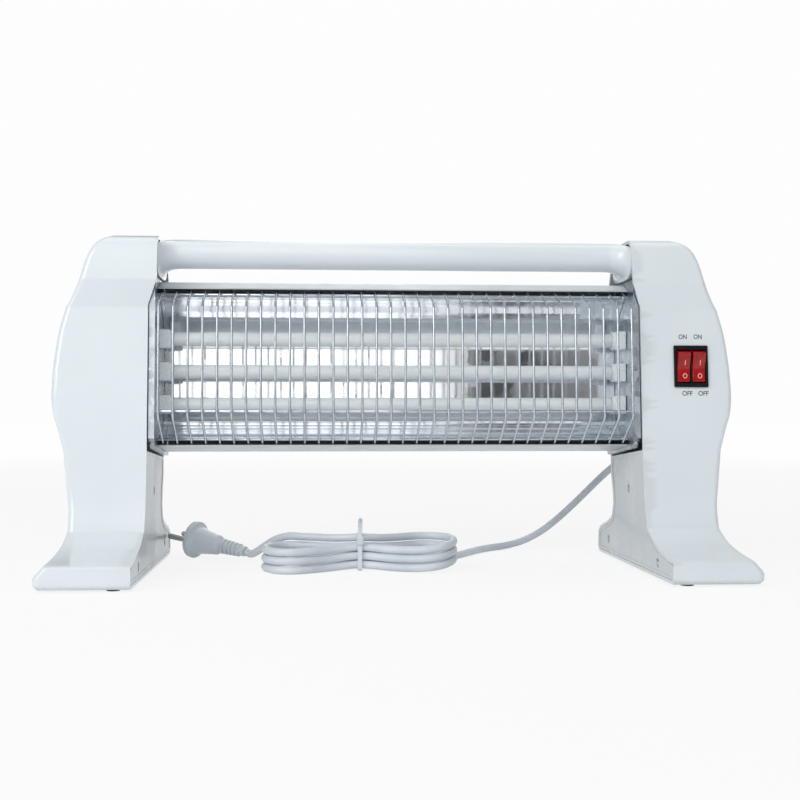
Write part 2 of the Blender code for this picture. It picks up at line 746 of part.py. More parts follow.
def carrying_bar():
    """The bar between the housings: one moulding whose flared ends close the housings' heads."""
    half = []
    plate_face = HEAD_HALF_SPAN + TOUCH
    for step in range(FLARE_STEPS + 1):
        share = math.sin(math.pi / 2 * step / FLARE_STEPS)
        half.append((plate_face - FLARE_LENGTH * (1 - share), share))
    half.append((plate_face + FLARE_PLATE, 1.0))
    stations = [(-reach, share) for reach, share in reversed(half)] + half
    shape = loft([bar_section(reach, share) for reach, share in stations])
    return from_bmesh("carrying_bar", shape, parts, white_gloss_plastic(), ROUND_CREASE)


def end_plate(name, side):
    """A galvanised end plate of the body: a flat web with a rim turned out to the housing."""
    outline = [(y * MM, z * MM) for y, z in END_PLATE_OUTLINE]
    inner, outer = side * END_PLATE_INNER, side * (END_PLATE_INNER + END_RIM)
    obj = side_plate(name, [outline], inner, outer, parts, galvanised_steel())
    hollow_start, hollow_end = side * (END_PLATE_INNER + SHEET), side * (END_PLATE_INNER + END_RIM + CUT)
    hollow = side_plate(f"{name}_hollow", [inset(outline, SHEET)], hollow_start, hollow_end, cutters)
    combine(obj, hollow, "DIFFERENCE")
    start, end = side * (END_PLATE_INNER - CUT), side * (END_PLATE_INNER + SHEET + CUT)
    holes = []
    for level in TUBE_HEIGHTS:
        near, far = (start, TUBE_DEPTH, level * MM), (end, TUBE_DEPTH, level * MM)
        holes.append(rod(f"lead_hole_{level}", near, far, LEAD_HOLE_RADIUS, SCREW_SIDES, cutters))
    combine(obj, joined(f"{name}_holes", holes), "DIFFERENCE")
    return obj


def sheet_trough(name, line, half_length, material):
    """A bent sheet along X, open to the front, from the side view of its face."""
    shape = bmesh.new()
    ends = []
    for reach in (-half_length, half_length):
        ends.append([shape.verts.new((reach, y * MM, z * MM)) for y, z in line])
    for i in range(len(line) - 1):
        shape.faces.new((ends[0][i], ends[0][i + 1], ends[1][i + 1], ends[1][i]))
    mesh = bpy.data.meshes.new(name)
    shape.to_mesh(mesh)
    shape.free()
    mesh.shade_smooth()
    mesh.set_sharp_from_angle(angle=SHEET_CREASE)
    obj = place(bpy.data.objects.new(name, mesh), parts, material)
    wall = obj.modifiers.new("sheet", "SOLIDIFY")
    wall.thickness = SHEET
    wall.offset = 0.0
    wall.use_even_offset = True
    return obj


def ceramic_cap(name, side, height):
    """A square ceramic end cap with a bore for the quartz tube and a hole for the coil's lead."""
    half = CAP_SIZE / 2
    low_x, high_x = sorted((side * CAP_START, side * (END_PLATE_INNER - TOUCH)))
    low = (low_x, TUBE_DEPTH - half, height - half)
    obj = box(name, low, (high_x, TUBE_DEPTH + half, height + half), parts, white_ceramic(), CAP_CHAMFER, 1)
    start = side * (CAP_START - CUT)
    bore_end = side * (TUBE_HALF_LENGTH + TOUCH)
    end = side * (END_PLATE_INNER + CUT)
    spot = (TUBE_DEPTH, height)
    bore = rod(f"{name}_bore", (start, *spot), (bore_end, *spot), TUBE_RADIUS + TOUCH, TUBE_SIDES, cutters)
    hole = rod(f"{name}_hole", (start, *spot), (end, *spot), COIL_WIRE_RADIUS + TOUCH, TINY_SIDES, cutters)
    combine(bore, hole, "UNION")
    combine(obj, bore, "DIFFERENCE")
    return obj


def quartz_tube(name, height):
    """A frosted quartz tube, open at both ends."""
    inner = TUBE_RADIUS - TUBE_WALL
    shape = bmesh.new()
    ring = []
    for radius, reach in (
        (TUBE_RADIUS, -TUBE_HALF_LENGTH), (TUBE_RADIUS, TUBE_HALF_LENGTH), (inner, TUBE_HALF_LENGTH),
        (inner, -TUBE_HALF_LENGTH),
    ):
        ring.append([(reach, TUBE_DEPTH + y, height + z) for y, z in circle((0, 0), radius, TUBE_SIDES)])
    ring.append(ring[0])
    shape = loft(ring, cap_start=False, cap_end=False)
    bmesh.ops.remove_doubles(shape, verts=shape.verts, dist=WELD)
    return from_bmesh(name, shape, parts, frosted_quartz(), ROUND_CREASE)


def coil_points(height):
    """A resistance coil with straight leads that run out through the caps."""
    points = [(-COIL_LEAD_END, TUBE_DEPTH, height), (-COIL_HALF_LENGTH - COIL_TAIL, TUBE_DEPTH, height)]
    steps = COIL_TURNS * COIL_POINTS_PER_TURN
    for i in range(steps + 1):
        turn = math.tau * i / COIL_POINTS_PER_TURN
        reach = COIL_HALF_LENGTH * (2 * i / steps - 1)
        points.append((reach, TUBE_DEPTH + COIL_RADIUS * math.cos(turn), height + COIL_RADIUS * math.sin(turn)))
    points += [(COIL_HALF_LENGTH + COIL_TAIL, TUBE_DEPTH, height), (COIL_LEAD_END, TUBE_DEPTH, height)]
    return points


def heating_tubes():
    """Three quartz tubes with their coils and ceramic caps."""
    for name, level in zip(TUBE_NAMES, TUBE_HEIGHTS):
        height = level * MM
        quartz_tube(f"quartz_tube_{name}", height)
        tube(f"heating_coil_{name}", coil_points(height), COIL_WIRE_RADIUS, 0, parts, resistance_wire())
        for side_name, side in (("left", -1), ("right", 1)):
            ceramic_cap(f"ceramic_cap_{side_name}_{name}", side, height)


def link_strip(name, side, levels):
    """A strip that links the coil leads behind an end plate."""
    half = BUS_WIDTH / 2
    start, end = sorted((side * (COIL_LEAD_END + TOUCH), side * (COIL_LEAD_END + TOUCH + SHEET)))
    low = (start, TUBE_DEPTH - half, min(levels) * MM - half)
    return box(name, low, (end, TUBE_DEPTH + half, max(levels) * MM + half), parts, galvanised_steel())


def guard_grille():
    """The wire guard: bent uprights welded to a rail above, a rail below and a stiffener, as one piece."""
    pitch = 2 * GUARD_HALF_SPAN / (GUARD_WIRES - 1)
    uprights = []
    for i in range(GUARD_WIRES):
        reach = -GUARD_HALF_SPAN + i * pitch
        points = [(reach, y * MM, z * MM) for y, z in GUARD_LINE]
        uprights.append(tube_mesh(f"upright_{i}", points, WIRE_RADIUS, 1, cutters))
    shape = bmesh.new()
    for upright in uprights:
        shape.from_mesh(upright.data)
        bpy.data.objects.remove(upright, do_unlink=True)
    obj = from_bmesh("guard_grille", shape, parts, bright_wire(), WIRE_CREASE)
    rails = []
    for i, (depth, height) in enumerate((RAIL_TOP, RAIL_BOTTOM, STIFFENER)):
        reach = GUARD_HALF_SPAN + STIFFENER_END if (depth, height) == STIFFENER else END_PLATE_INNER - TOUCH
        spot = (depth * MM, height * MM)
        rails.append(rod(f"rail_{i}", (-reach, *spot), (reach, *spot), RAIL_RADIUS, TINY_SIDES, cutters))
    combine(obj, joined("guard_rails", rails), "UNION")
    return obj


def plate_screws():
    """The small screws in the sloping lower rim of each end plate."""
    low, high = (Vector(point) * MM for point in END_PLATE_OUTLINE[:2])
    middle = (low + high) / 2
    along = (high - low).normalized()
    inward = Vector((0.0, -along.y, along.x)) * -1
    if inward.z < 0:
        inward = -inward
    for side_name, side in (("left", -1), ("right", 1)):
        seat = Vector((side * (END_PLATE_INNER + END_RIM / 2 + SHEET / 2), middle.x, middle.y))
        start, end = seat - inward * LONG_CUT / 2, seat + inward * LONG_CUT / 2
        bore = PLATE_SCREW_RADIUS + SLIDE
        hole = rod(f"plate_screw_hole_{side_name}", start, end, bore, SMALL_SIDES, cutters)
        combine(bpy.data.objects[f"{side_name}_end_plate"], hole, "DIFFERENCE")
        screw(
            f"{side_name}_plate_screw", seat, inward, PLATE_HEAD_RADIUS, PLATE_HEAD_HEIGHT, PLATE_SCREW_RADIUS,
            PLATE_SCREW_LENGTH,
        )


def switch_body():
    """The switch's black frame and body, with one pocket for each rocker."""
    half_width, half_height = BEZEL_WIDTH / 2, BEZEL_HEIGHT / 2
    frame = box(
        "switch_body", (-half_width, -TOUCH - BEZEL_THICKNESS, -half_height), (half_width, -TOUCH, half_height),
        parts, black_plastic(), bevel=BEZEL_BEVEL, matrix=switch_frame(),
    )
    half_width, half_height = SWITCH_BODY_WIDTH / 2, SWITCH_BODY_HEIGHT / 2
    low = (-half_width, -TOUCH - BEZEL_THICKNESS / 3, -half_height)
    high = (half_width, SWITCH_BODY_DEPTH, half_height)
    core = box("switch_core", low, high, cutters, matrix=switch_frame())
    combine(frame, core, "UNION")
    pockets = []
    for side in (-1, 1):
        low = (rocker_offset(side) - ROCKER_WIDTH / 2 - SLIDE, -LONG_CUT, -ROCKER_REACH - SLIDE)
        high = (rocker_offset(side) + ROCKER_WIDTH / 2 + SLIDE, POCKET_DEPTH, ROCKER_REACH + SLIDE)
        pockets.append(box(f"pocket_{side}", low, high, cutters, matrix=switch_frame()))
    combine(frame, joined("switch_pockets", pockets), "DIFFERENCE")
    return frame


def rocker_offset(side):
    """How far a rocker's centre lies from the switch's centre line."""
    return side * (ROCKER_BAR + ROCKER_WIDTH + 2 * SLIDE) / 2


def rocker(name, side):
    """One rocker key, pressed in at its lower end, its origin on its pivot."""
    top_turn, low_turn = math.asin(ROCKER_RISE / ROCKER_REACH), math.asin(-ROCKER_SKIRT / ROCKER_REACH)
    arc = []
    for i in range(ROCKER_ARC_STEPS + 1):
        turn = low_turn + (top_turn - low_turn) * i / ROCKER_ARC_STEPS
        arc.append((-ROCKER_REACH * math.sin(turn), ROCKER_REACH * math.cos(turn)))
    outline = arc + [(-ROCKER_THICKNESS, 0.0)] + [(y, -z) for y, z in reversed(arc)]
    obj = side_plate(name, [outline], -ROCKER_WIDTH / 2, ROCKER_WIDTH / 2, parts, red_plastic())
    pivot = Matrix.Translation((rocker_offset(side), ROCKER_PIVOT_DEPTH, 0.0))
    obj.matrix_world = switch_frame() @ pivot @ Matrix.Rotation(ROCKER_HALF_TRAVEL, 4, "X")
    spot = (switch_frame() @ pivot).translation
    print(f"{name} pivot", [round(value, 6) for value in spot])
    return obj


def cord_gland():
    """The gland in the right leg's back wall, with its tapered strain relief."""
    wall_face = back_depth(GLAND_Z)
    profile = [(radius * MM, along * MM) for radius, along in GLAND_PROFILE]
    turn = Matrix.Rotation(-math.pi / 2, 4, "X")
    spot = Matrix.Translation((GLAND_X, wall_face, GLAND_Z)) @ turn
    turned("cord_gland", profile, TUBE_SIDES, spot, parts, cord_plastic())
    return wall_face + GLAND_PROFILE[-1][1] * MM


def smooth_route(points, spacing):
    """Points read at even steps from a smooth curve through the route's own points."""
    points = [Vector(point) for point in points]
    padded = [2 * points[0] - points[1]] + points + [2 * points[-1] - points[-2]]
    fine = []
    for a, b, c, d in zip(padded, padded[1:], padded[2:], padded[3:]):
        for i in range(ROUTE_STEPS):
            t = i / ROUTE_STEPS
            fine.append(
                (b * 2 + (c - a) * t + (a * 2 - b * 5 + c * 4 - d) * t**2 + (b * 3 - a - c * 3 + d) * t**3) / 2
            )
    fine.append(points[-1])
    lengths = [0.0]
    for before, after in zip(fine, fine[1:]):
        lengths.append(lengths[-1] + (after - before).length)
    count = max(round(lengths[-1] / spacing), 2)
    route, at = [], 0
    for step in range(count + 1):
        goal = lengths[-1] * step / count
        while at < len(lengths) - 2 and lengths[at + 1] < goal:
            at += 1
        share = (goal - lengths[at]) / (lengths[at + 1] - lengths[at])
        route.append(fine[at].lerp(fine[at + 1], share))
    return route


def hank_level(turn):
    """How many cords high the hank has climbed: one step over the right-hand end of each loop."""
    loops = math.floor((turn - HANK_CLIMB_START) / math.tau)
    share = (turn - HANK_CLIMB_START - loops * math.tau) / (HANK_CLIMB_END - HANK_CLIMB_START)
    share = min(max(share, 0.0), 1.0)
    return loops - 1 + share * share * (3 - 2 * share)


def hank_point(turn):
    """A point of the hank: a long loop drawn in at its waist, lifted a little where the tie passes under."""
    rise = math.sin(turn)
    across = HANK_HALF_LENGTH * math.cos(turn)
    aside = rise * (HANK_WAIST + (HANK_HALF_WIDTH - HANK_WAIST) * (1 - rise**4))
    lift = (TIE_THICKNESS + TIE_CLEARANCE) * math.exp(-((across / HANK_LIFT_SPREAD) ** 2))
    height = CORD_RADIUS + FLOOR_GAP + lift + HANK_PITCH * hank_level(turn)
    return Vector((HANK_X + across, HANK_Y + aside, height))


def hank_points():
    """The hank's loops as one unbroken line whose ends run straight for one cord diameter."""
    end = HANK_END + math.tau * HANK_LOOPS
    count = round((end - HANK_START) / math.tau * HANK_POINTS_PER_LOOP)
    points = [hank_point(HANK_START + (end - HANK_START) * i / count) for i in range(count + 1)]
    first = (points[0] - points[1]).normalized()
    last = (points[-1] - points[-2]).normalized()
    first.z = 0.0
    last.z = 0.0
    reach = 2 * CORD_RADIUS
    return [points[0] + first.normalized() * reach] + points + [points[-1] + last.normalized() * reach]


def least_gap(points, radius):
    """The least gap of a tube to itself, between stretches more than three diameters apart along it."""
    fine = []
    for before, after in zip(points, points[1:]):
        fine += [before.lerp(after, i / 4) for i in range(4)]
    lengths = [0.0]
    for before, after in zip(fine, fine[1:]):
        lengths.append(lengths[-1] + (after - before).length)
    least = math.inf
    for i, first in enumerate(fine):
        for j in range(i + 1, len(fine)):
            if lengths[j] - lengths[i] > 6 * radius:
                least = min(least, (first - fine[j]).length)
    return least - 2 * radius


def length_of(points):
    return sum((after - before).length for before, after in zip(points, points[1:]))


def plug_frame():
    """Where the plug lies: its origin at the flange's face, its Z towards the lead."""
    heading = Vector((math.cos(PLUG_HEADING), math.sin(PLUG_HEADING), 0.0))
    axis = (-heading * math.cos(PLUG_TILT) - Vector((0, 0, math.sin(PLUG_TILT)))).normalized()
    length = PLUG_PROFILE[-1][1] * MM
    flange_edge = PLUG_PROFILE[3][1] * MM
    height = PLUG_FLANGE_RADIUS * math.cos(PLUG_TILT) + flange_edge * math.sin(PLUG_TILT) + FLOOR_GAP
    face = Vector((PLUG_ENTRY_X, PLUG_ENTRY_Y, 0.0)) + heading * length * math.cos(PLUG_TILT)
    face.z = height
    side = axis.cross(Vector((0, 0, 1))).normalized()
    up = side.cross(axis)
    turn = Matrix((side, up, axis)).transposed().to_4x4()
    return Matrix.Translation(face) @ turn, face + axis * length, axis


def plug():
    """The two-pin plug, lying on its flange and its lead."""
    frame, _, _ = plug_frame()
    profile = [(radius * MM, along * MM) for radius, along in PLUG_PROFILE]
    turned("plug_body", profile, TUBE_SIDES, frame, parts, white_gloss_plastic())
    for number, side in enumerate((-1, 1), start=1):
        pin = [(radius * MM, along * MM) for radius, along in PIN_PROFILE]
        spot = frame @ Matrix.Translation((side * PIN_HALF_SPACING, 0.0, 0.0))
        turned(f"plug_pin_{number}", pin, PIN_SIDES, spot, parts, screw_steel())


def mains_lead():
    """The lead from its gland to the hank, the hank itself, its tie, and the short stretch to the plug."""
    gland_end = cord_gland()
    hank = hank_points()
    start = Vector((GLAND_X, gland_end + TOUCH, GLAND_Z))
    inward = (hank[0] - hank[1]).normalized()
    route = [start] + [Vector((share * GLAND_X, y * MM, z * MM)) for share, y, z in LEAD_ROUTE]
    route += [hank[0] + inward * LEAD_STRAIGHT, hank[0] + inward * TOUCH]
    lead = smooth_route(route, LEAD_SPACING)
    tube("power_cord", lead, CORD_RADIUS, 2, parts, cord_plastic())
    tube("cord_hank", hank, CORD_RADIUS, 1, parts, cord_plastic())
    _, entry, axis = plug_frame()
    onward = (hank[-1] - hank[-2]).normalized()
    tail = [hank[-1] + onward * TOUCH, hank[-1] + onward * TAIL_STRAIGHT]
    tail += [Vector(point) * MM for point in PLUG_ROUTE]
    tail += [entry + axis * TAIL_STRAIGHT, entry + axis * TOUCH]
    short = smooth_route(tail, TAIL_SPACING)
    tube("plug_lead", short, CORD_RADIUS, 2, parts, cord_plastic())
    lengths = [length_of(points) for points in (lead, hank, short)]
    print("lead, hank and stretch to the plug", [round(length, 4) for length in lengths])
    gap = least_gap(hank, CORD_RADIUS)
    print("whole length", round(sum(lengths), 4), "least gap of the hank to itself", round(gap / MM, 3), "mm")
    plug()
    cord_tie(hank)


def waist_points(points):
    """The hank's points, read finely, that lie under the tie."""
    under = []
    for before, after in zip(points, points[1:]):
        for i in range(ROUTE_STEPS):
            point = before.lerp(after, i / ROUTE_STEPS)
            if abs(point.x - HANK_X) < TIE_WIDTH:
                under.append(point)
    return under


def cord_tie(hank):
    """A flat tie round the hank's waist."""
    waist = waist_points(hank)
    half_depth = max(abs(point.y - HANK_Y) for point in waist) + CORD_RADIUS + TIE_CLEARANCE
    low = FLOOR_GAP / 2
    top = max(point.z for point in waist) + CORD_RADIUS + TIE_CLEARANCE + TIE_THICKNESS
    outer = [
        (HANK_Y - half_depth - TIE_THICKNESS, low), (HANK_Y + half_depth + TIE_THICKNESS, low),
        (HANK_Y + half_depth + TIE_THICKNESS, top), (HANK_Y - half_depth - TIE_THICKNESS, top),
    ]
    inner = inset(outer, TIE_THICKNESS)
    half = TIE_WIDTH / 2
    side_plate("cord_tie", [outer, inner], HANK_X - half, HANK_X + half, parts, white_gloss_plastic())


def main():
    clear_scene()
    housing("left_shell", -1)
    right = housing("right_shell", 1)
    combine(right, switch_opening(), "DIFFERENCE")
    combine(right, gland_opening(), "DIFFERENCE")
    for side_name, side in (("left", -1), ("right", 1)):
        inner_cover(f"{side_name}_inner_cover", side)
        cover_screws(side_name, side)
        rubber_feet(side_name, side)
        end_plate(f"{side_name}_end_plate", side)
    plate_screws()
    carrying_bar()
    half_length = END_PLATE_INNER - TOUCH
    sheet_trough("back_panel", BACK_PANEL_LINE, half_length, painted_sheet())
    sheet_trough("reflector", REFLECTOR_LINE, half_length, polished_sheet())
    heating_tubes()
    link_strip("left_link_strip", -1, TUBE_HEIGHTS)
    for name, level in zip(TUBE_NAMES, TUBE_HEIGHTS):
        link_strip(f"right_terminal_{name}", 1, (level,))
    guard_grille()
    switch_body()
    rocker("rocker_left", -1)
    rocker("rocker_right", 1)
    mains_lead()


main()
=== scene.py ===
# %% [markdown]
# # A quartz heater, piece by piece
# A quartz heater is a low electric fire. Two moulded housings are its ends and its legs, and between
# them sit a bright trough, three frosted quartz tubes and a guard of bent wires. This script dresses
# the bare solids of such a heater: it keeps their places and sizes, and gives each piece its fine
# shape and its finish.

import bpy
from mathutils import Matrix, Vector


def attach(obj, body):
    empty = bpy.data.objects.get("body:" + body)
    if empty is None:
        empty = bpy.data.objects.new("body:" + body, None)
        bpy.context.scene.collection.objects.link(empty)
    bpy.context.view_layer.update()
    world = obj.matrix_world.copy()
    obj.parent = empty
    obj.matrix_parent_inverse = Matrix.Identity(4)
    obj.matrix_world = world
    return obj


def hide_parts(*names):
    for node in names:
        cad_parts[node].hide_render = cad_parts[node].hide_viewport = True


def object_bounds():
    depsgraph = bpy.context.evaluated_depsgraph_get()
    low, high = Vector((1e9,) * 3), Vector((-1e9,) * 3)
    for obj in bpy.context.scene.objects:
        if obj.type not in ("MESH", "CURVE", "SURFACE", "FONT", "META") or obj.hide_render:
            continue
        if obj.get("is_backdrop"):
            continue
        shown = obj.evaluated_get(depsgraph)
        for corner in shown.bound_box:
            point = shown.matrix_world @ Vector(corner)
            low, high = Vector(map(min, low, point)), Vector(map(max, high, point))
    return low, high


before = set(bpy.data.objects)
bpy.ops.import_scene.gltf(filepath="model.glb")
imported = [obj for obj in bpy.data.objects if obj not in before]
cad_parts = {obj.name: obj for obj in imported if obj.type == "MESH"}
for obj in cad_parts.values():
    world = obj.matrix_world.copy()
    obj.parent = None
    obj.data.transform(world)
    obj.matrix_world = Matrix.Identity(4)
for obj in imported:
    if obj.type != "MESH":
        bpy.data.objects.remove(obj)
cad_box = [list(corner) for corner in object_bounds()]

# %% Everything that the lesson imports
import math

import bmesh
import bpy
from mathutils import Matrix, Vector

MM = 0.001
scene = bpy.context.scene

# %% [markdown]
# ## Small helpers
# Sizes are written in millimetres, and these helpers turn them into Blender's metres. Every piece
# ends the same way: one mesh at the origin, smooth where it is round and crisp where it is folded,
# on the body that carries it, standing for the solids that it dresses.

# %% Put things in the scene


def millimetres(*values):
    return tuple(value * MM for value in values)


def moved(*place):
    """A move to a place in millimetres."""
    return Matrix.Translation(millimetres(*place))


def in_scene(name, data):
    """A new object that holds this data."""
    obj = bpy.data.objects.new(name, data)
    scene.collection.objects.link(obj)
    return obj


def from_bmesh(name, shape):
    mesh = bpy.data.meshes.new(name)
    shape.to_mesh(mesh)
    shape.free()
    return in_scene(name, mesh)


def shaded(obj, crease):
    """Shade a mesh smooth, and keep folds sharper than the crease crisp."""
    obj.data.shade_smooth()
    obj.data.set_sharp_from_angle(angle=math.radians(crease))
    return obj


def modify(obj, kind, **settings):
    """Add a modifier with these settings."""
    modifier = obj.modifiers.new(kind.lower(), kind)
    for key, value in settings.items():
        setattr(modifier, key, value)
    return obj


def settle(obj, crease=None):
    """Apply an object's modifiers by taking its evaluated mesh. Given a crease, also even out its shading."""
    bpy.context.view_layer.update()
    mesh = bpy.data.meshes.new_from_object(obj.evaluated_get(bpy.context.evaluated_depsgraph_get()))
    obj.modifiers.clear()
    obj.data = mesh
    if crease is not None:
        settle(modify(shaded(obj, crease), "WEIGHTED_NORMAL", keep_sharp=True, weight=80))
    return obj


def bevelled(obj, width, segments=2, angle=40.0):
    """Round the sharp edges, as every moulded or pressed edge is."""
    return modify(
        obj, "BEVEL", width=width * MM, segments=segments, limit_method="ANGLE", angle_limit=math.radians(angle),
        use_clamp_overlap=True,
    )


def combine(obj, other, operation="DIFFERENCE"):
    """Cut one shape out of another, or join the two, and drop the second."""
    settle(modify(obj, "BOOLEAN", operation=operation, solver="EXACT", object=other))
    bpy.data.objects.remove(other, do_unlink=True)
    return obj


def dress(obj, material, nodes=(), body="heater"):
    """Give a piece its material, its body and the solids that it stands for."""
    obj.data.materials.clear()
    obj.data.materials.append(material)
    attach(obj, body)
    if nodes:
        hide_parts(*nodes)
    return obj


print("helpers ready")

# %% Make the basic shapes


def mesh_piece(name, shape, crease=35.0):
    """Turn a closed bmesh into an object whose faces point outwards."""
    bmesh.ops.remove_doubles(shape, verts=shape.verts, dist=0.002 * MM)
    bmesh.ops.recalc_face_normals(shape, faces=shape.faces)
    if shape.calc_volume(signed=True) < 0:
        bmesh.ops.reverse_faces(shape, faces=shape.faces)
    return shaded(from_bmesh(name, shape), crease)


def block(name, low, high, matrix=Matrix(), bevel=0.0, segments=2):
    """A box between two corners, its edges rounded, moved by a matrix."""
    shape = bmesh.new()
    bmesh.ops.create_cube(shape, size=1.0)
    low, high = Vector(millimetres(*low)), Vector(millimetres(*high))
    bmesh.ops.scale(shape, vec=high - low, verts=shape.verts)
    bmesh.ops.translate(shape, vec=(low + high) / 2, verts=shape.verts)
    if bevel:
        bmesh.ops.bevel(
            shape, geom=list(shape.edges), offset=bevel * MM, segments=segments, profile=0.5, affect="EDGES",
        )
    shape.transform(matrix)
    return mesh_piece(name, shape)


def turned(name, profile, sides, matrix=Matrix(), crease=35.0):
    """A turned shape: (radius, place along the axis) spun round Z and then moved."""
    shape = bmesh.new()
    corners = [shape.verts.new(millimetres(radius, 0.0, along)) for radius, along in profile]
    for first, second in zip(corners, corners[1:]):
        shape.edges.new((first, second))
    bmesh.ops.spin(
        shape, geom=list(shape.verts) + list(shape.edges), axis=(0, 0, 1), cent=(0, 0, 0),
        angle=math.tau, steps=sides, use_merge=True,
    )
    shape.transform(matrix)
    return mesh_piece(name, shape, crease)


def loft(rings, closed=True, caps=True):
    """A skin over rings that have the same number of points."""
    shape = bmesh.new()
    rows = [[shape.verts.new(millimetres(*point)) for point in ring] for ring in rings]
    count = len(rows[0])
    for row, following in zip(rows, rows[1:]):
        for i in range(count if closed else count - 1):
            j = (i + 1) % count
            shape.faces.new((row[i], row[j], following[j], following[i]))
    if caps:
        shape.faces.new(list(reversed(rows[0])))
        shape.faces.new(rows[-1])
    return shape


def plate_across(name, outline, start, end, matrix=Matrix()):
    """A flat plate across X between two places, from (depth, height) points."""
    shape = loft([[(reach, y, z) for y, z in outline] for reach in (start, end)])
    shape.transform(matrix)
    return mesh_piece(name, shape, 40.0)


def joined(name, pieces, crease=35.0):
    """Several meshes as one, with their smooth and crisp edges found again."""
    shape = bmesh.new()
    for piece in pieces:
        shape.from_mesh(piece.data)
        bpy.data.objects.remove(piece, do_unlink=True)
    return shaded(from_bmesh(name, shape), crease)


print("shapes ready")

# %% [markdown]
# ## The camera
# The photograph was taken from straight ahead, a little left of the middle, with a moderate lens.
# A camera that stands level keeps upright lines upright, so the framing is set with the lens shift
# and not by tilting it.

# %% Place the camera
CAMERA_PLACE, CAMERA_TURN = (-0.0615, -0.8635, 0.1181), -0.0595
SENSOR_WIDTH, LENS_LENGTH = 36.0, 49.5
LENS_SHIFT = (0.0219, 0.0246)

lens = bpy.data.cameras.new("portrait")
lens.sensor_width, lens.lens = SENSOR_WIDTH, LENS_LENGTH
lens.shift_x, lens.shift_y = LENS_SHIFT
lens.clip_start = 0.01
camera = in_scene("portrait", lens)
camera.location = CAMERA_PLACE
camera.rotation_euler = (math.radians(90), 0.0, CAMERA_TURN)
scene.camera = camera
print("camera", [round(value, 4) for value in camera.location])

# %% [markdown]
# ## Words for materials
# A finish is a small tree of nodes. These helpers say the few things that all of them need: noise
# at a real size on the piece's own coordinates, a value that runs between two limits, a mix of two
# colours, and a bump. Most finishes then differ only in their numbers.

# %% Helpers for node trees


def colour(red, green, blue):
    """A screen colour from 0 to 255 as the linear values that a shader wants."""
    return tuple(
        value / 255 / 12.92 if value <= 10 else ((value / 255 + 0.055) / 1.055) ** 2.4
        for value in (red, green, blue)
    )


def fill(tree, node, key, value):
    """Fill a node's input: a node or a socket is linked, and anything else is its value."""
    socket = node.inputs[key]
    if isinstance(value, bpy.types.Node):
        value = value.outputs[0]
    if isinstance(value, bpy.types.NodeSocket):
        tree.links.new(value, socket)
    else:
        socket.default_value = (*value, 1.0) if socket.type == "RGBA" else value


def add(tree, kind, inputs=(), **settings):
    """Add a node with its settings and its inputs, each by name or number."""
    node = tree.nodes.new(kind)
    for key, value in settings.items():
        setattr(node, key, value)
    for key, value in dict(inputs).items():
        fill(tree, node, key, value)
    return node


class Finish:
    """A material under construction, with its shader and short ways to add nodes."""

    def __init__(self, name):
        self.material = bpy.data.materials.new(name)
        self.material.use_nodes = True
        self.tree = self.material.node_tree
        self.shader = self.tree.nodes["Principled BSDF"]
        self.place = self.node("ShaderNodeTexCoord").outputs["Object"]

    def node(self, kind, inputs=(), **settings):
        return add(self.tree, kind, inputs, **settings)

    def set(self, **values):
        """Fill the shader's inputs."""
        for key, value in values.items():
            fill(self.tree, self.shader, key.replace("_", " "), value)

    def noise(self, size, detail, stretch=(1.0, 1.0, 1.0)):
        """Noise whose blotches are about this size in metres."""
        mapping = self.node("ShaderNodeMapping", {"Vector": self.place, "Scale": stretch})
        noise = self.node("ShaderNodeTexNoise", {"Vector": mapping, "Scale": 1.0 / size, "Detail": detail})
        return noise.outputs["Fac"]

    def span(self, value, low, high, start=0.3, end=0.7):
        """A value of the tree, carried from its own range to the one that a socket wants."""
        return self.node("ShaderNodeMapRange", {
            "Value": value, "From Min": start, "From Max": end, "To Min": low, "To Max": high,
        }).outputs["Result"]

    def cloud(self, size, detail, low, high, start=0.3, end=0.7, stretch=(1.0, 1.0, 1.0)):
        """Noise that runs between two limits."""
        return self.span(self.noise(size, detail, stretch), low, high, start, end)

    def blend(self, factor, first, second):
        """A colour between two, by a value of the tree."""
        return self.node("ShaderNodeMix", {"Factor": factor, 6: first, 7: second}, data_type="RGBA").outputs[2]

    def bump(self, height, depth, strength):
        """Small relief of this depth in millimetres, added to any before it."""
        inputs = {"Distance": depth * MM, "Strength": strength, "Height": height}
        if self.shader.inputs["Normal"].is_linked:
            inputs["Normal"] = self.shader.inputs["Normal"].links[0].from_socket
        self.set(Normal=self.node("ShaderNodeBump", inputs))


def surface(name, tones, blotch, haze, relief, wear=None, **shader):
    """A finish of two mixed tones, perhaps worn edges, a polish that drifts, and small relief.

    blotch and haze are a cloud's numbers. Each relief is a noise's size and detail, its depth and
    strength, and perhaps its stretch. wear is the colour of rubbed edges and how far it covers.
    """
    finish = Finish(name)
    tint = finish.blend(finish.cloud(*blotch), *tones)
    if wear:
        rubbed_colour, cover = wear
        edges = finish.node("ShaderNodeNewGeometry").outputs["Pointiness"]
        tint = finish.blend(finish.span(edges, 0.0, cover, 0.53, 0.62), tint, rubbed_colour)
    finish.set(Base_Color=tint, Roughness=finish.cloud(*haze), **shader)
    for size, detail, depth, strength, *stretch in relief:
        finish.bump(finish.noise(size, detail, *stretch), depth, strength)
    return finish.material


print("finish helpers ready")

# %% [markdown]
# ## Moulded white plastic
# The housings, the bar, the plug and the tie are injection moulded in a cool white that looks
# polished. Such a surface is never quite flat: it has a faint orange peel, rubbed spots where it is
# duller, and edges that have lost a little of their shine.

# %% White plastic and the covers' plastic


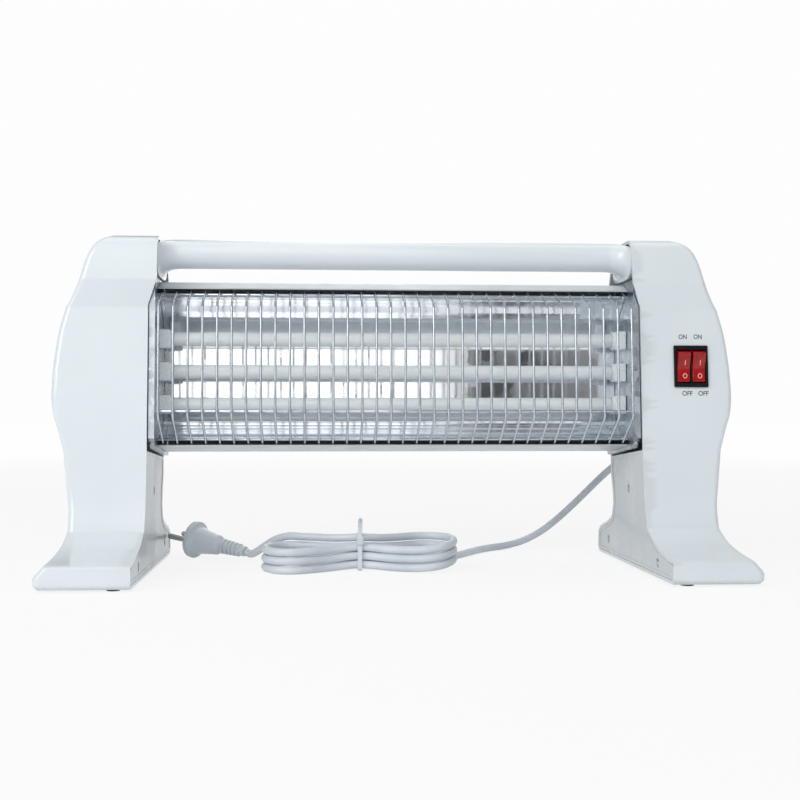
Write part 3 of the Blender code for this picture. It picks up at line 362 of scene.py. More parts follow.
def moulded_plastic(name, shade, polish, grime):
    """A glossy moulding: its colour, how polished it is from best to worst, and its rubbed edges' colour."""
    return surface(
        name, (shade, tuple(value * 0.955 for value in shade)), (0.09, 2.0, 0.0, 1.0),
        (0.02, 5.0, *polish, 0.35, 0.72, (1.0, 1.0, 0.35)), ((0.006, 2.0, 0.02, 0.5), (0.0007, 2.0, 0.004, 0.5)),
        (grime, 0.35), IOR=1.49, Coat_Weight=0.25, Coat_Roughness=0.08,
    )


white_plastic = moulded_plastic("white_plastic", colour(227, 235, 240), (0.13, 0.26), colour(196, 202, 206))
cover_plastic = moulded_plastic("cover_plastic", colour(217, 224, 228), (0.26, 0.40), colour(180, 186, 190))
plug_plastic = moulded_plastic("plug_plastic", colour(220, 228, 234), (0.28, 0.42), colour(190, 196, 200))
print("plastics", white_plastic.name, cover_plastic.name, plug_plastic.name)

# %% [markdown]
# ## The rocker keys and their frame
# The keys are red, glassy and a little see-through, which shows as a deeper red where they are
# thick. The frame round them is black nylon with a fine spark texture. Pad-printed ink is thinner in
# places, so the plastic shows through it a little.

# %% Red keys, black frame, and the inks
key_red = surface(
    "red_key", (colour(186, 10, 14), colour(138, 3, 6)), (0.004, 2.0, 0.0, 1.0), (0.0015, 3.0, 0.09, 0.2),
    [(0.003, 1.0, 0.01, 0.5)], IOR=1.55, Specular_IOR_Level=0.35, Coat_Weight=0.15, Coat_Roughness=0.05,
    Subsurface_Weight=0.12, Subsurface_Scale=0.002,
)
frame_black = surface(
    "spark_black", (colour(9, 9, 13), colour(24, 24, 29)), (0.005, 4.0, 0.0, 1.0, 0.5, 0.75), (0.002, 2.0, 0.4, 0.55),
    [(0.00035, 2.0, 0.02, 0.6)], Specular_IOR_Level=0.2,
)
word_ink, mark_ink = (
    surface(
        name, (shade, colour(190, 196, 200)), (0.0006, 3.0, 0.0, 0.25, 0.45, 0.75), (0.001, 2.0, 0.35, 0.5),
        [(0.0004, 2.0, 0.005, 0.4)],
    )
    for name, shade in (("word_ink", colour(52, 56, 64)), ("mark_ink", colour(244, 186, 166)))
)
print("switch finishes", key_red.name, frame_black.name)

# %% [markdown]
# ## Sheet metal
# The end plates are galvanised: zinc freezes on the steel in flat crystals, each of which catches
# the light its own way. The trough behind the tubes is the same sheet polished, so it mirrors the
# room in soft, wavering patches. Voronoi cells give each crystal its own tone and tilt. The back is
# pale enamel over sheet steel, with a faint orange peel.

# %% Galvanised plate, polished trough, and painted back


def zinc(name, shade, polish, crystal, wave, metal=1.0, depth=0.72, swell=0.12):
    """Zinced sheet: its colour, its polish from best to worst, its crystals' size and contrast, and its waves."""
    finish = Finish(name)
    jitter = finish.node("ShaderNodeTexNoise", {"Vector": finish.place, "Scale": 2.0 / crystal})
    small = finish.node("ShaderNodeVectorMath", {0: jitter.outputs["Color"], "Scale": crystal * 0.8}, operation="SCALE")
    bend = finish.node("ShaderNodeVectorMath", {0: finish.place, 1: small}, operation="ADD")
    cells = finish.node("ShaderNodeTexVoronoi", {"Vector": bend, "Scale": 1.0 / crystal})
    tone = finish.node("ShaderNodeSeparateColor", {"Color": cells.outputs["Color"]}).outputs
    dark = tuple(value * depth for value in shade)
    flowers = finish.blend(tone["Red"], dark, shade)
    lines = finish.cloud(0.0016, 4.0, 0.0, 0.3, 0.45, 0.7, (1.0, 0.03, 0.03))
    finish.set(
        Base_Color=finish.blend(lines, flowers, dark), Roughness=finish.span(tone["Green"], *polish, 0.0, 1.0),
        Metallic=metal,
    )
    finish.bump(finish.noise(wave, 1.0, (1.0, 0.4, 0.4)), swell, 0.5)
    finish.bump(tone["Blue"], 0.01, 0.3)
    return finish.material


galvanised = zinc("galvanised", colour(205, 214, 221), (0.22, 0.42), 0.007, 0.06)
polished_trough = zinc(
    "polished_trough", colour(246, 249, 252), (0.05, 0.12), 0.014, 0.05, metal=0.9, depth=0.93, swell=0.018,
)
enamel = surface(
    "stoved_enamel", (colour(222, 228, 231), colour(208, 215, 219)), (0.12, 3.0, 0.0, 1.0), (0.015, 4.0, 0.3, 0.45),
    [(0.0016, 2.0, 0.015, 0.5)], (colour(160, 165, 168), 0.5), Coat_Weight=0.15,
)
print("sheet finishes", galvanised.name, polished_trough.name, enamel.name)

# %% [markdown]
# ## Bright wire, screws and pins
# The guard is zinc-bright wire. Drawing leaves faint lines along a wire, and the plating pools at
# the welds, so its roughness drifts slowly along its length.

# %% Bright metals


def bright_metal(name, shade, polish, grain, tarnish):
    """A plated metal: its colour, its polish, the size of its drift, and the colour of its dull spots."""
    return surface(
        name, (shade, tarnish), (grain, 5.0, 0.0, 0.55, 0.5, 0.78), (grain * 0.6, 3.0, *polish),
        [(grain * 0.12, 2.0, 0.006, 0.4)], Metallic=1.0,
    )


guard_wire = bright_metal("guard_wire", colour(196, 203, 211), (0.14, 0.26), 0.012, colour(138, 146, 152))
screw_nickel = bright_metal("screw_nickel", colour(198, 198, 192), (0.2, 0.34), 0.003, colour(122, 120, 112))
pin_nickel = bright_metal("pin_nickel", colour(208, 210, 210), (0.12, 0.22), 0.004, colour(150, 148, 138))
coil_wire = bright_metal("coil_wire", colour(112, 104, 98), (0.4, 0.6), 0.002, colour(70, 62, 58))
print("metals", guard_wire.name, screw_nickel.name)

# %% [markdown]
# ## Quartz, ceramic, cord and rubber
# The tubes are milky: tiny bubbles in the quartz scatter the light, so the coil inside is only
# guessed at, and the milk is streaked along the tube. The caps are pressed steatite, dull and
# slightly speckled. The cord's sheath is soft plastic with a satin skin that changes where it was
# handled. The feet are black rubber with dust in its pores.

# %% Quartz, steatite, sheath and rubber
quartz = surface(
    "milky_quartz", (colour(250, 252, 254), colour(234, 239, 243)), (0.004, 4.0, 0.0, 1.0, 0.3, 0.7, (0.12, 1.0, 1.0)),
    (0.01, 3.0, 0.34, 0.5), [(0.0012, 3.0, 0.02, 0.5, (0.3, 1.0, 1.0))],
    IOR=1.46, Transmission_Weight=0.08, Subsurface_Weight=0.2, Subsurface_Scale=0.004,
)
ceramic = surface(
    "steatite", (colour(234, 240, 243), colour(206, 212, 214)), (0.0012, 5.0, 0.0, 1.0, 0.5, 0.8),
    (0.004, 3.0, 0.5, 0.68), [(0.0006, 4.0, 0.03, 0.6)],
)
sheath = surface(
    "soft_sheath", (colour(222, 229, 235), colour(204, 212, 219)), (0.03, 4.0, 0.0, 1.0), (0.008, 3.0, 0.32, 0.46),
    [(0.0011, 3.0, 0.02, 0.5)],
)
foot_rubber = surface(
    "dull_rubber", (colour(38, 38, 40), colour(70, 70, 70)), (0.002, 5.0, 0.0, 1.0, 0.5, 0.8), (0.001, 3.0, 0.7, 0.88),
    [(0.0008, 4.0, 0.04, 0.6)],
)
print("finishes made", len(bpy.data.materials))

# %% [markdown]
# ## The lines of a side housing
# From the side a housing is a foot that narrows into a leg and swells into a head. Its outline is
# given as a few points at each height, in stretches that meet in creases, for its front, its back
# and its outer side. A smooth line with no overshoot goes through each stretch, and a little
# averaging turns each crease into the soft edge that a mould has.

# %% Read the outlines at any height
FRONT_LINE = (
    ((1.8, -102.5), (5.0, -104.5), (18.0, -104.0)),
    ((18.0, -104.0), (20.5, -84.0), (26.0, -61.0), (35.0, -43.0)),
    ((35.0, -43.0), (60.0, -35.5), (95.0, -31.5)),
    ((95.0, -31.5), (203.0, -23.5)),
    ((203.0, -23.5), (224.0, -28.0)),
    ((224.0, -28.0), (245.0, -25.0), (252.0, -22.5), (256.5, -18.5), (258.5, -14.0)),
)
BACK_LINE = (
    ((1.8, 100.0), (7.0, 104.5), (19.0, 103.5), (25.0, 96.0), (30.0, 76.0), (38.0, 58.5), (48.0, 54.5)),
    ((48.0, 54.5), (60.0, 57.0), (75.0, 62.0), (95.0, 63.0)),
    ((95.0, 63.0), (180.0, 62.0), (203.0, 57.0), (224.0, 45.0)),
    ((224.0, 45.0), (245.0, 36.5), (252.0, 33.0), (256.5, 28.0), (258.5, 22.0)),
)
OUTER_LINE = (
    ((1.8, 7.0), (5.0, 5.0), (9.0, 5.0), (13.0, 8.0), (18.0, 12.5)),
    ((18.0, 12.5), (27.0, 14.5), (38.0, 15.0), (48.0, 14.8), (66.0, 12.5), (95.0, 9.3)),
    ((95.0, 9.3), (112.0, 4.6), (124.0, 1.0), (136.0, 0.0), (152.0, 0.6), (168.0, 2.2), (185.0, 4.8), (203.0, 9.6)),
    (
        (203.0, 9.6), (213.0, 15.5), (224.0, 20.5), (236.0, 23.8), (245.0, 27.2), (252.0, 31.5), (256.5, 37.5),
        (258.5, 42.0),
    ),
)
BOTTOM, TOP = 1.8, 258.5
CREASES, CREASE_REACH, CROWN = (5, 18, 35, 95, 203, 224, 256), 3.5, 248
FINE_STEP, COARSE_STEP = 0.8, 2.4


def smooth_value(points, at):
    """The value at one place of a smooth line through (place, value) points, with no overshoot."""
    places = [point[0] for point in points]
    values = [point[1] for point in points]
    last = len(points) - 1
    steps = [places[i + 1] - places[i] for i in range(last)]
    slopes = [(values[i + 1] - values[i]) / steps[i] for i in range(last)]
    bends = [slopes[0]]
    for before, after in zip(slopes, slopes[1:]):
        bends.append(2 * before * after / (before + after) if before * after > 0 else 0.0)
    bends.append(slopes[-1])
    i = min(max(sum(at >= place for place in places) - 1, 0), last - 1)
    t = min(max((at - places[i]) / steps[i], 0.0), 1.0)
    start = (2 * t**3 - 3 * t**2 + 1) * values[i] + (3 * t**2 - 2 * t**3) * values[i + 1]
    return start + steps[i] * ((t**3 - 2 * t**2 + t) * bends[i] + (t**3 - t**2) * bends[i + 1])


def line_value(stretches, level):
    """The value of a creased line at a height in millimetres."""
    level = min(max(level, BOTTOM), TOP)
    for stretch in stretches:
        if level <= stretch[-1][0]:
            return smooth_value(stretch, level)
    return stretches[-1][-1][1]


def eased(stretches, level, reach=0.6):
    """The same line with its creases softened over a couple of millimetres."""
    near = min(reach, level - BOTTOM, TOP - level)
    taps = [line_value(stretches, level + near * share) for share in (-1.0, -0.5, 0.0, 0.5, 1.0)]
    return sum(taps) / len(taps)


def housing_levels():
    """Heights of the skin's rings, closer together where the outline turns."""
    levels = [BOTTOM]
    while levels[-1] < TOP:
        at = levels[-1]
        fine = at > CROWN or min(abs(at - crease) for crease in CREASES) < CREASE_REACH
        levels.append(min(at + (FINE_STEP if fine else COARSE_STEP), TOP))
    return levels


LEVELS = housing_levels()
print("rings of a housing", len(LEVELS))

# %% [markdown]
# ## The side housings
# Each housing is a tray, open on the side that faces the other one. Its skin is a loft of open
# rings, one for each height, from the front rim round the rounded outer corners to the back rim.
# Solidify gives the moulding its wall, inwards, and a small bevel takes the sharpness from its rim.

# %% Loft the two housings
WALL = 2.5
EDGE_RADIUS, RIM_ROUNDING = 5.0, 0.45
HALF_WIDTH = 260.5
CLEAR_SPAN, HEAD_SPAN = 188.9, 182.0
HEAD_START, HEAD_END = 205.0, 224.0
CORNER_STEPS, FACE_COLUMNS = 9, 8
SIDES = (("left", -1), ("right", 1))


def rim_reach(level):
    """Where the open inner edge lies: straight down the leg, slanting in to the head."""
    share = min(max((level - HEAD_START) / (HEAD_END - HEAD_START), 0.0), 1.0)
    return CLEAR_SPAN + (HEAD_SPAN - CLEAR_SPAN) * share


def housing_ring(level, side):
    """One height of the skin."""
    rim, reach = rim_reach(level), HALF_WIDTH - eased(OUTER_LINE, level)
    front, back = eased(FRONT_LINE, level), eased(BACK_LINE, level)
    turns = [math.pi / 2 * i / CORNER_STEPS for i in range(CORNER_STEPS + 1)]
    face = [rim + (reach - EDGE_RADIUS - rim) * i / FACE_COLUMNS for i in range(FACE_COLUMNS)]
    near = [EDGE_RADIUS * (1 - math.sin(turn)) for turn in turns]
    far = [EDGE_RADIUS * (1 - math.cos(turn)) for turn in turns]
    ring = [(x, front) for x in face] + [(reach - a, front + b) for a, b in zip(near, far)]
    ring += [(reach - b, back - a) for a, b in zip(near, far)] + [(x, back) for x in reversed(face)]
    return [(side * x, y, level) for x, y in ring]


def housing(name, side):
    """A moulded tray with a wall and a softened rim."""
    shape = loft([housing_ring(level, side) for level in LEVELS], closed=False)
    bmesh.ops.recalc_face_normals(shape, faces=shape.faces)
    shape.normal_update()
    shape.faces.ensure_lookup_table()
    if shape.faces[FACE_COLUMNS + CORNER_STEPS].normal.x * side < 0:
        bmesh.ops.reverse_faces(shape, faces=shape.faces)
    obj = modify(from_bmesh(name, shape), "SOLIDIFY", thickness=WALL * MM, offset=-1.0, use_even_offset=True)
    return settle(bevelled(obj, RIM_ROUNDING, 2, 50.0), 50.0)


left_housing, right_housing = (housing(f"{side_name}_housing", side) for side_name, side in SIDES)
print("housing faces", len(left_housing.data.polygons), len(right_housing.data.polygons))

# %% [markdown]
# ## Openings in the right housing
# The switch snaps into a rectangular hole in the front, and the cord's gland into a round one in
# the leg's back wall. The front leans back a little, so the switch has a frame of reference of its
# own that leans with it.

# %% Cut the switch hole and the gland hole
SWITCH_X, SWITCH_Z = 227.5, 159.3
SWITCH_HOLE = (12.15, 8.0, 14.75)
GLAND_X, GLAND_Z = 206.0, 79.0
GLAND_HOLE_RADIUS, GLAND_HOLE_REACH = 4.65, 8.0

front_slope = math.atan2(line_value(FRONT_LINE, SWITCH_Z + 8) - line_value(FRONT_LINE, SWITCH_Z - 8), 16)
switch_place = moved(SWITCH_X, line_value(FRONT_LINE, SWITCH_Z), SWITCH_Z) @ Matrix.Rotation(-front_slope, 4, "X")
combine(right_housing, block("switch_hole", [-value for value in SWITCH_HOLE], SWITCH_HOLE, switch_place))
gland_back = line_value(BACK_LINE, GLAND_Z)
gland_place = moved(GLAND_X, gland_back, GLAND_Z) @ Matrix.Rotation(-math.pi / 2, 4, "X")
combine(right_housing, turned("gland_hole", [
    (0.0, -GLAND_HOLE_REACH), (GLAND_HOLE_RADIUS, -GLAND_HOLE_REACH), (GLAND_HOLE_RADIUS, GLAND_HOLE_REACH),
    (0.0, GLAND_HOLE_REACH),
], 40, gland_place))
settle(right_housing, 50.0)
dress(left_housing, white_plastic, ["left_shell"])
dress(right_housing, white_plastic, ["right_shell"])
print("front leans", round(math.degrees(front_slope), 2), "degrees")

# %% [markdown]
# ## The inner covers
# A flat moulding closes each leg on its inner side. A shallow border runs round it, and its screws
# sit in round recesses. The outline is the leg's own, drawn in so that it fits inside the wall.

# %% Shape the inner covers
SCREW_PLACES = ((10.0, 62.5), (70.0, 15.5), (-66.0, 12.5))
COVER_MARGIN, COVER_THICKNESS = 2.8, 2.2
COVER_TOP_FRONT, COVER_TOP_BACK = 94.6, 87.0
BORDER, FIELD_DEPTH = 2.4, 0.35
FOOT_TOP, FOOT_STEP, LEG_STEP = 50, 1.3, 3.5
BOSS = ((0.0, 1.0), (4.6, 1.0), (4.6, 5.0), (0.0, 5.0))
RECESS = ((0.0, -1.0), (3.6, -1.0), (3.4, 2.6), (1.75, 2.6), (1.75, 6.0), (0.0, 6.0))


def drawn_line(stretches, level, margin, side):
    """A line of the leg moved inwards by a margin, measured square to the line."""
    drawn = []
    for i in range(-12, 13):
        step = margin * i / 12
        near = min(max(level + step, BOTTOM), TOP)
        drawn.append(line_value(stretches, near) + side * math.sqrt(margin**2 - step**2))
    return max(drawn) if side > 0 else min(drawn)


def cover_outline(margin, border=0.0):
    """The leg's side view inside the housing's wall, as (depth, height) points."""
    outline = []
    for stretches, top, side in ((FRONT_LINE, COVER_TOP_FRONT, 1), (BACK_LINE, COVER_TOP_BACK, -1)):
        levels = [BOTTOM + margin + border]
        while levels[-1] < top - border:
            levels.append(min(levels[-1] + (FOOT_STEP if levels[-1] < FOOT_TOP else LEG_STEP), top - border))
        outline += [(drawn_line(stretches, level, margin + border, side), level) for level in levels][::side]
    return outline


def inner_cover(side_name, side):
    """A cover with a raised border and three recesses."""
    cover = plate_across(
        f"{side_name}_panel", cover_outline(COVER_MARGIN), side * CLEAR_SPAN, side * (CLEAR_SPAN + COVER_THICKNESS),
    )
    combine(cover, plate_across(
        "field", cover_outline(COVER_MARGIN, BORDER), side * (CLEAR_SPAN - 1), side * (CLEAR_SPAN + FIELD_DEPTH),
    ))
    for depth, height in SCREW_PLACES:
        spot = moved(side * CLEAR_SPAN, depth, height) @ Matrix.Rotation(side * math.pi / 2, 4, "Y")
        combine(cover, turned("boss", BOSS, 40, spot), "UNION")
        combine(cover, turned("recess", RECESS, 40, spot))
    settle(bevelled(cover, 0.25, 2, 35.0), 35.0)
    return dress(cover, cover_plastic, [f"{side_name}_inner_cover"])


for side_name, side in SIDES:
    print(side_name, "cover faces", len(inner_cover(side_name, side).data.polygons))

# %% [markdown]
# ## The carrying bar
# The bar is one moulding with the two broad ends that close the heads. It is round along its length
# and flares near each end into a wide rounded plate, most of it on the underside. A loft whose
# section slides from a circle to a rounded rectangle gives that trumpet shape.

# %% Loft the carrying bar
BAR_SIDES, BAR_PLATE = 72, 182.3
BAR_RADIUS, BAR_CENTRE = 11.3, Vector((2.0, 247.0))
FLARE_LENGTH, FLARE_STEPS, FLARE_POWER = 15.0, 18, 3.2
FLARE_CENTRE, FLARE_HALF_DEPTH, FLARE_HALF_HEIGHT = Vector((5.5, 241.9)), 27.3, 13.6
ROUND_PLACES, PLATE_THICKNESS = (0.0, 40.0, 80.0, 120.0, 150.0), 3.0


def squared(value):
    """A sine or cosine pushed outwards, which turns a circle into a rounded rectangle."""
    return math.copysign(abs(value) ** (2 / FLARE_POWER), value)


def bar_ring(reach, share):
    """A section of the bar: round, growing to a broad plate."""
    ring = []
    for i in range(BAR_SIDES):
        across, up = math.cos(math.tau * i / BAR_SIDES), math.sin(math.tau * i / BAR_SIDES)
        broad = FLARE_CENTRE + Vector((FLARE_HALF_DEPTH * squared(across), FLARE_HALF_HEIGHT * squared(up)))
        point = (BAR_CENTRE + BAR_RADIUS * Vector((across, up))).lerp(broad, 1 - math.sqrt(1 - share**2))
        ring.append((reach, point.x, point.y))
    return ring


bar_half = [(reach, 0.0) for reach in ROUND_PLACES]
for step in range(FLARE_STEPS + 1):
    flare = math.sin(math.pi / 2 * step / FLARE_STEPS)
    bar_half.append((BAR_PLATE - FLARE_LENGTH * (1 - flare), flare))
bar_half.append((BAR_PLATE + PLATE_THICKNESS, 1.0))
bar_stations = [(-reach, flare) for reach, flare in reversed(bar_half[1:])] + bar_half
bar = mesh_piece("carrying_bar_moulding", loft([bar_ring(*station) for station in bar_stations]), 40.0)
dress(bar, white_plastic, ["carrying_bar"])
print("bar faces", len(bar.data.polygons))

# %% [markdown]
# ## Bent sheets: the back and the trough
# Both are single sheets folded along X. A line through the folds, rounded where a press brake would
# round it, is swept from end plate to end plate, and Solidify gives the sheet its thickness. The
# end plates, the link strip and the terminals are flat stampings, so their solids are kept as they
# are and only get the zinc.

# %% Fold the back panel and the trough
BACK_FOLDS = (
    (-7.0, 219.4), (-2.0, 221.6), (6.0, 225.3), (16.0, 226.4), (30.0, 224.0), (41.0, 213.5), (50.0, 196.0),
    (54.0, 172.0), (54.0, 116.0), (50.0, 98.0), (44.0, 92.0), (-6.0, 98.2),
)
TROUGH_FOLDS = (
    (-4.8, 215.0), (-2.0, 216.2), (4.0, 214.0), (22.0, 200.0), (32.0, 184.0), (32.4, 156.0), (32.0, 128.0),
    (22.0, 112.0), (2.0, 103.6), (-3.6, 102.4),
)
SHEET_HALF_LENGTH, SHEET_THICKNESS, SHEET_STATIONS = 183.7, 0.8, 24


def rounded_line(points, share=0.3, steps=6):
    """A line whose corners are rounded by a share of the shorter stretch beside them."""
    line = [Vector(points[0])]
    for before, here, after in zip(points, points[1:], points[2:]):
        before, here, after = Vector(before), Vector(here), Vector(after)
        reach = share * min((here - before).length, (after - here).length)
        start = here + (before - here).normalized() * reach
        end = here + (after - here).normalized() * reach
        for i in range(steps + 1):
            t = i / steps
            line.append(start * (1 - t) ** 2 + here * 2 * t * (1 - t) + end * t * t)
    line.append(Vector(points[-1]))
    return line


def folded_sheet(name, folds, share, material, node):
    """A folded sheet between the end plates."""
    stations = [SHEET_HALF_LENGTH * (2 * i / SHEET_STATIONS - 1) for i in range(SHEET_STATIONS + 1)]
    rings = [[(x, point.x, point.y) for point in rounded_line(folds, share)] for x in stations]
    obj = from_bmesh(name, loft(rings, closed=False, caps=False))
    settle(modify(obj, "SOLIDIFY", thickness=SHEET_THICKNESS * MM, offset=0.0, use_even_offset=True), 50.0)
    shape = bmesh.new()
    shape.from_mesh(obj.data)
    bmesh.ops.recalc_face_normals(shape, faces=shape.faces)
    shape.to_mesh(obj.data)
    shape.free()
    return dress(obj, material, [node])


back_sheet = folded_sheet("back_sheet", BACK_FOLDS, 0.42, enamel, "back_panel")
trough_sheet = folded_sheet("trough_sheet", TROUGH_FOLDS, 0.45, polished_trough, "reflector")
zinced = ["left_end_plate", "right_end_plate", "left_link_strip"]
for node_name in zinced + [f"right_terminal_{level_name}" for level_name in ("upper", "middle", "lower")]:
    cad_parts[node_name].data.materials.clear()
    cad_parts[node_name].data.materials.append(galvanised)
print("sheets folded", back_sheet.name, trough_sheet.name)

# %% [markdown]
# ## The tubes, their caps and their coils
# A coil follows a rule, so Geometry Nodes wind it: a spiral gets a round wire, and the wire is turned
# to lie along the tube. Its two ends run on straight. Each tube is open at its ends and sits in a
# pressed ceramic cap with a raised collar.

# %% Helpers for Geometry Nodes


def new_tree(name, sizes):
    """A Geometry Nodes tree with named inputs, given as (name, socket type, value)."""
    tree = bpy.data.node_groups.new(name, "GeometryNodeTree")
    for way in ("INPUT", "OUTPUT"):
        tree.interface.new_socket("Geometry", in_out=way, socket_type="NodeSocketGeometry")
    for label, kind, value in sizes:
        socket = tree.interface.new_socket(label, in_out="INPUT", socket_type=f"NodeSocket{kind}")
        if value is not None:
            socket.default_value = value
    return tree, tree.nodes.new("NodeGroupInput").outputs


def swept(tree, curve, radius, sides):
    """A round wire along a curve."""
    ring = add(tree, "GeometryNodeCurvePrimitiveCircle", {"Resolution": sides, "Radius": radius})
    return add(tree, "GeometryNodeCurveToMesh", {"Curve": curve, "Profile Curve": ring, "Fill Caps": True})


def ended(tree, result, material):
    """Close a tree: real geometry instead of instances, then its material."""
    real = add(tree, "GeometryNodeRealizeInstances", {"Geometry": result})
    painted = add(tree, "GeometryNodeSetMaterial", {"Geometry": real, "Material": material})
    add(tree, "NodeGroupOutput", {"Geometry": painted})
    print("tree", tree.name, "nodes", len(tree.nodes))
    return tree


def grown(name, tree, base=None, crease=40.0, **values):
    """Run a tree on a mesh, its inputs set by their sockets' identifiers, and keep the result as a plain mesh."""
    obj = modify(in_scene(name, base or bpy.data.meshes.new(name)), "NODES", node_group=tree)
    for item in tree.interface.items_tree:
        key = item.name.replace(" ", "_").lower()
        if item.in_out == "INPUT" and key in values:
            obj.modifiers[0][item.identifier] = values[key]
    return settle(obj, crease)


print("tree helpers ready")

# %% A tree that winds a coil
TUBE_DEPTH = 4.0
TUBE_HEIGHTS = (("upper", 181.0), ("middle", 155.5), ("lower", 130.0))
COIL_LENGTH, COIL_RADIUS, COIL_WIRE, COIL_TURNS = 332.0, 2.9, 0.3, 72.0


def coil_tree():
    """Wind a wire round X: a spiral, stood on its start and laid along the tube."""
    tree, given = new_tree("wound_coil", (
        ("Turns", "Float", COIL_TURNS), ("Coil radius", "Float", COIL_RADIUS * MM),
        ("Length", "Float", COIL_LENGTH * MM), ("Wire radius", "Float", COIL_WIRE * MM), ("Height", "Float", 0.0),
        ("Depth", "Float", TUBE_DEPTH * MM), ("Material", "Material", None),
    ))
    spiral = add(tree, "GeometryNodeCurveSpiral", {
        "Resolution": 12, "Rotations": given["Turns"], "Start Radius": given["Coil radius"],
        "End Radius": given["Coil radius"], "Height": given["Length"],
    })
    half = add(tree, "ShaderNodeMath", {0: given["Length"], 1: -0.5}, operation="MULTIPLY")
    spot = add(tree, "ShaderNodeCombineXYZ", {"X": half, "Y": given["Depth"], "Z": given["Height"]})
    laid = add(tree, "GeometryNodeTransform", {
        "Geometry": swept(tree, spiral, given["Wire radius"], 5), "Rotation": (0.0, math.pi / 2, 0.0),
        "Translation": spot,
    })
    return ended(tree, laid, given["Material"])


coil_winder = coil_tree()

# %% Wind the coils and blow the tubes
COIL_END, LEAD_START = 166.0, {-1: -190.0, 1: 166.0}
LEAD = ((0, 0), (0.45, 0), (0.45, 24), (0, 24))
ARM = ((0, -0.4), (0.42, 0), (0.42, COIL_RADIUS), (0, COIL_RADIUS))
TUBE_SIDES, TUBE_STATIONS = 48, 12
TUBE_SECTION = (
    (5.5, -177.3), (5.5, 177.3), (5.3, 177.5), (4.6, 177.5), (4.4, 177.3), (4.4, -177.3), (4.6, -177.5), (5.3, -177.5),
)


def tube_ring(radius, reach, level):
    """A ring of a tube's skin, outside or inside."""
    turns = [math.tau * i / TUBE_SIDES for i in range(TUBE_SIDES)]
    return [(reach, TUBE_DEPTH + radius * math.cos(turn), level + radius * math.sin(turn)) for turn in turns]


for level_name, level in TUBE_HEIGHTS:
    parts = [grown(f"wound_{level_name}", coil_winder, height=level * MM, material=coil_wire)]
    for side_name, side in SIDES:
        along_x = moved(LEAD_START[side], TUBE_DEPTH, level) @ Matrix.Rotation(math.pi / 2, 4, "Y")
        parts += [turned("lead", LEAD, 8, along_x), turned("arm", ARM, 8, moved(side * COIL_END, TUBE_DEPTH, level))]
    coil = joined(f"wound_coil_{level_name}", parts)
    dress(coil, coil_wire, [f"heating_coil_{level_name}"])
    (radius, start), (_, end) = TUBE_SECTION[:2]
    outside = [(radius, start + (end - start) * i / TUBE_STATIONS) for i in range(TUBE_STATIONS)]
    rings = [tube_ring(*station, level) for station in (*outside, *TUBE_SECTION[1:], TUBE_SECTION[0])]
    tube = mesh_piece(f"quartz_{level_name}", loft(rings, caps=False), 50.0)
    dress(tube, quartz, [f"quartz_tube_{level_name}"])
print("coil faces", len(coil.data.polygons), "tube faces", len(tube.data.polygons))

# %% Press the ceramic caps
CAP_HALF_SIZE, CAP_INNER, CAP_OUTER, COLLAR_START = 7.2, 175.2, 183.7, 173.0
COLLAR = ((0.0, 0.0), (6.7, 0.0), (7.0, 0.3), (7.1, 3.4), (0.0, 3.4))
BORE = ((0.0, -1.0), (5.85, -1.0), (5.8, 4.8), (0.75, 4.8), (0.75, 12.0), (0.0, 12.0))

for level_name, level in TUBE_HEIGHTS:
    for side_name, side in SIDES:
        low, high = sorted((side * CAP_INNER, side * CAP_OUTER))
        cap = block(
            f"pressed_cap_{side_name}_{level_name}", (low, TUBE_DEPTH - CAP_HALF_SIZE, level - CAP_HALF_SIZE),
            (high, TUBE_DEPTH + CAP_HALF_SIZE, level + CAP_HALF_SIZE), bevel=0.9, segments=3,
        )
        spot = moved(side * COLLAR_START, TUBE_DEPTH, level) @ Matrix.Rotation(side * math.pi / 2, 4, "Y")
        combine(cap, turned("collar", COLLAR, 48, spot), "UNION")
        combine(cap, turned("bore", BORE, 40, spot))
        settle(bevelled(cap, 0.25, 2, 45.0), 40.0)
        dress(cap, ceramic, [f"ceramic_cap_{side_name}_{level_name}"])
print("cap faces", len(cap.data.polygons))

# %% [markdown]
# ## The guard
# Thirty-four upright wires, all alike, cross the front at even steps. Geometry Nodes bend one wire
# along its line, round its corners with a fillet, give it a round section, and repeat it along X.
# Each copy leans by a hair, as welded wires do. Two rails and a stiffener run across behind them,
# with a bead of weld at every crossing.

# %% A tree that repeats the bent wire
GUARD_LINE = (
    (-4.6, 217.6), (-7.5, 216.2), (-27.5, 207.6), (-30.4, 203.0), (-34.8, 122.0), (-33.0, 118.2), (-8.0, 101.6),
    (-5.0, 99.8),
)
GUARD_HALF_SPAN, GUARD_WIRES = 180.0, 34
GUARD_RAILS = ((-7.2, 214.6, SHEET_HALF_LENGTH), (-7.2, 102.9, SHEET_HALF_LENGTH), (-33.1, 124.4, 181.5))
WIRE_RADIUS, BEND_RADIUS, RAIL_RADIUS, RAIL_CHAMFER = 0.95, 2.6, 1.1, 0.25
WELD_SIZE, WELD_FORWARD = (1.45, 0.95, 1.35), 0.6


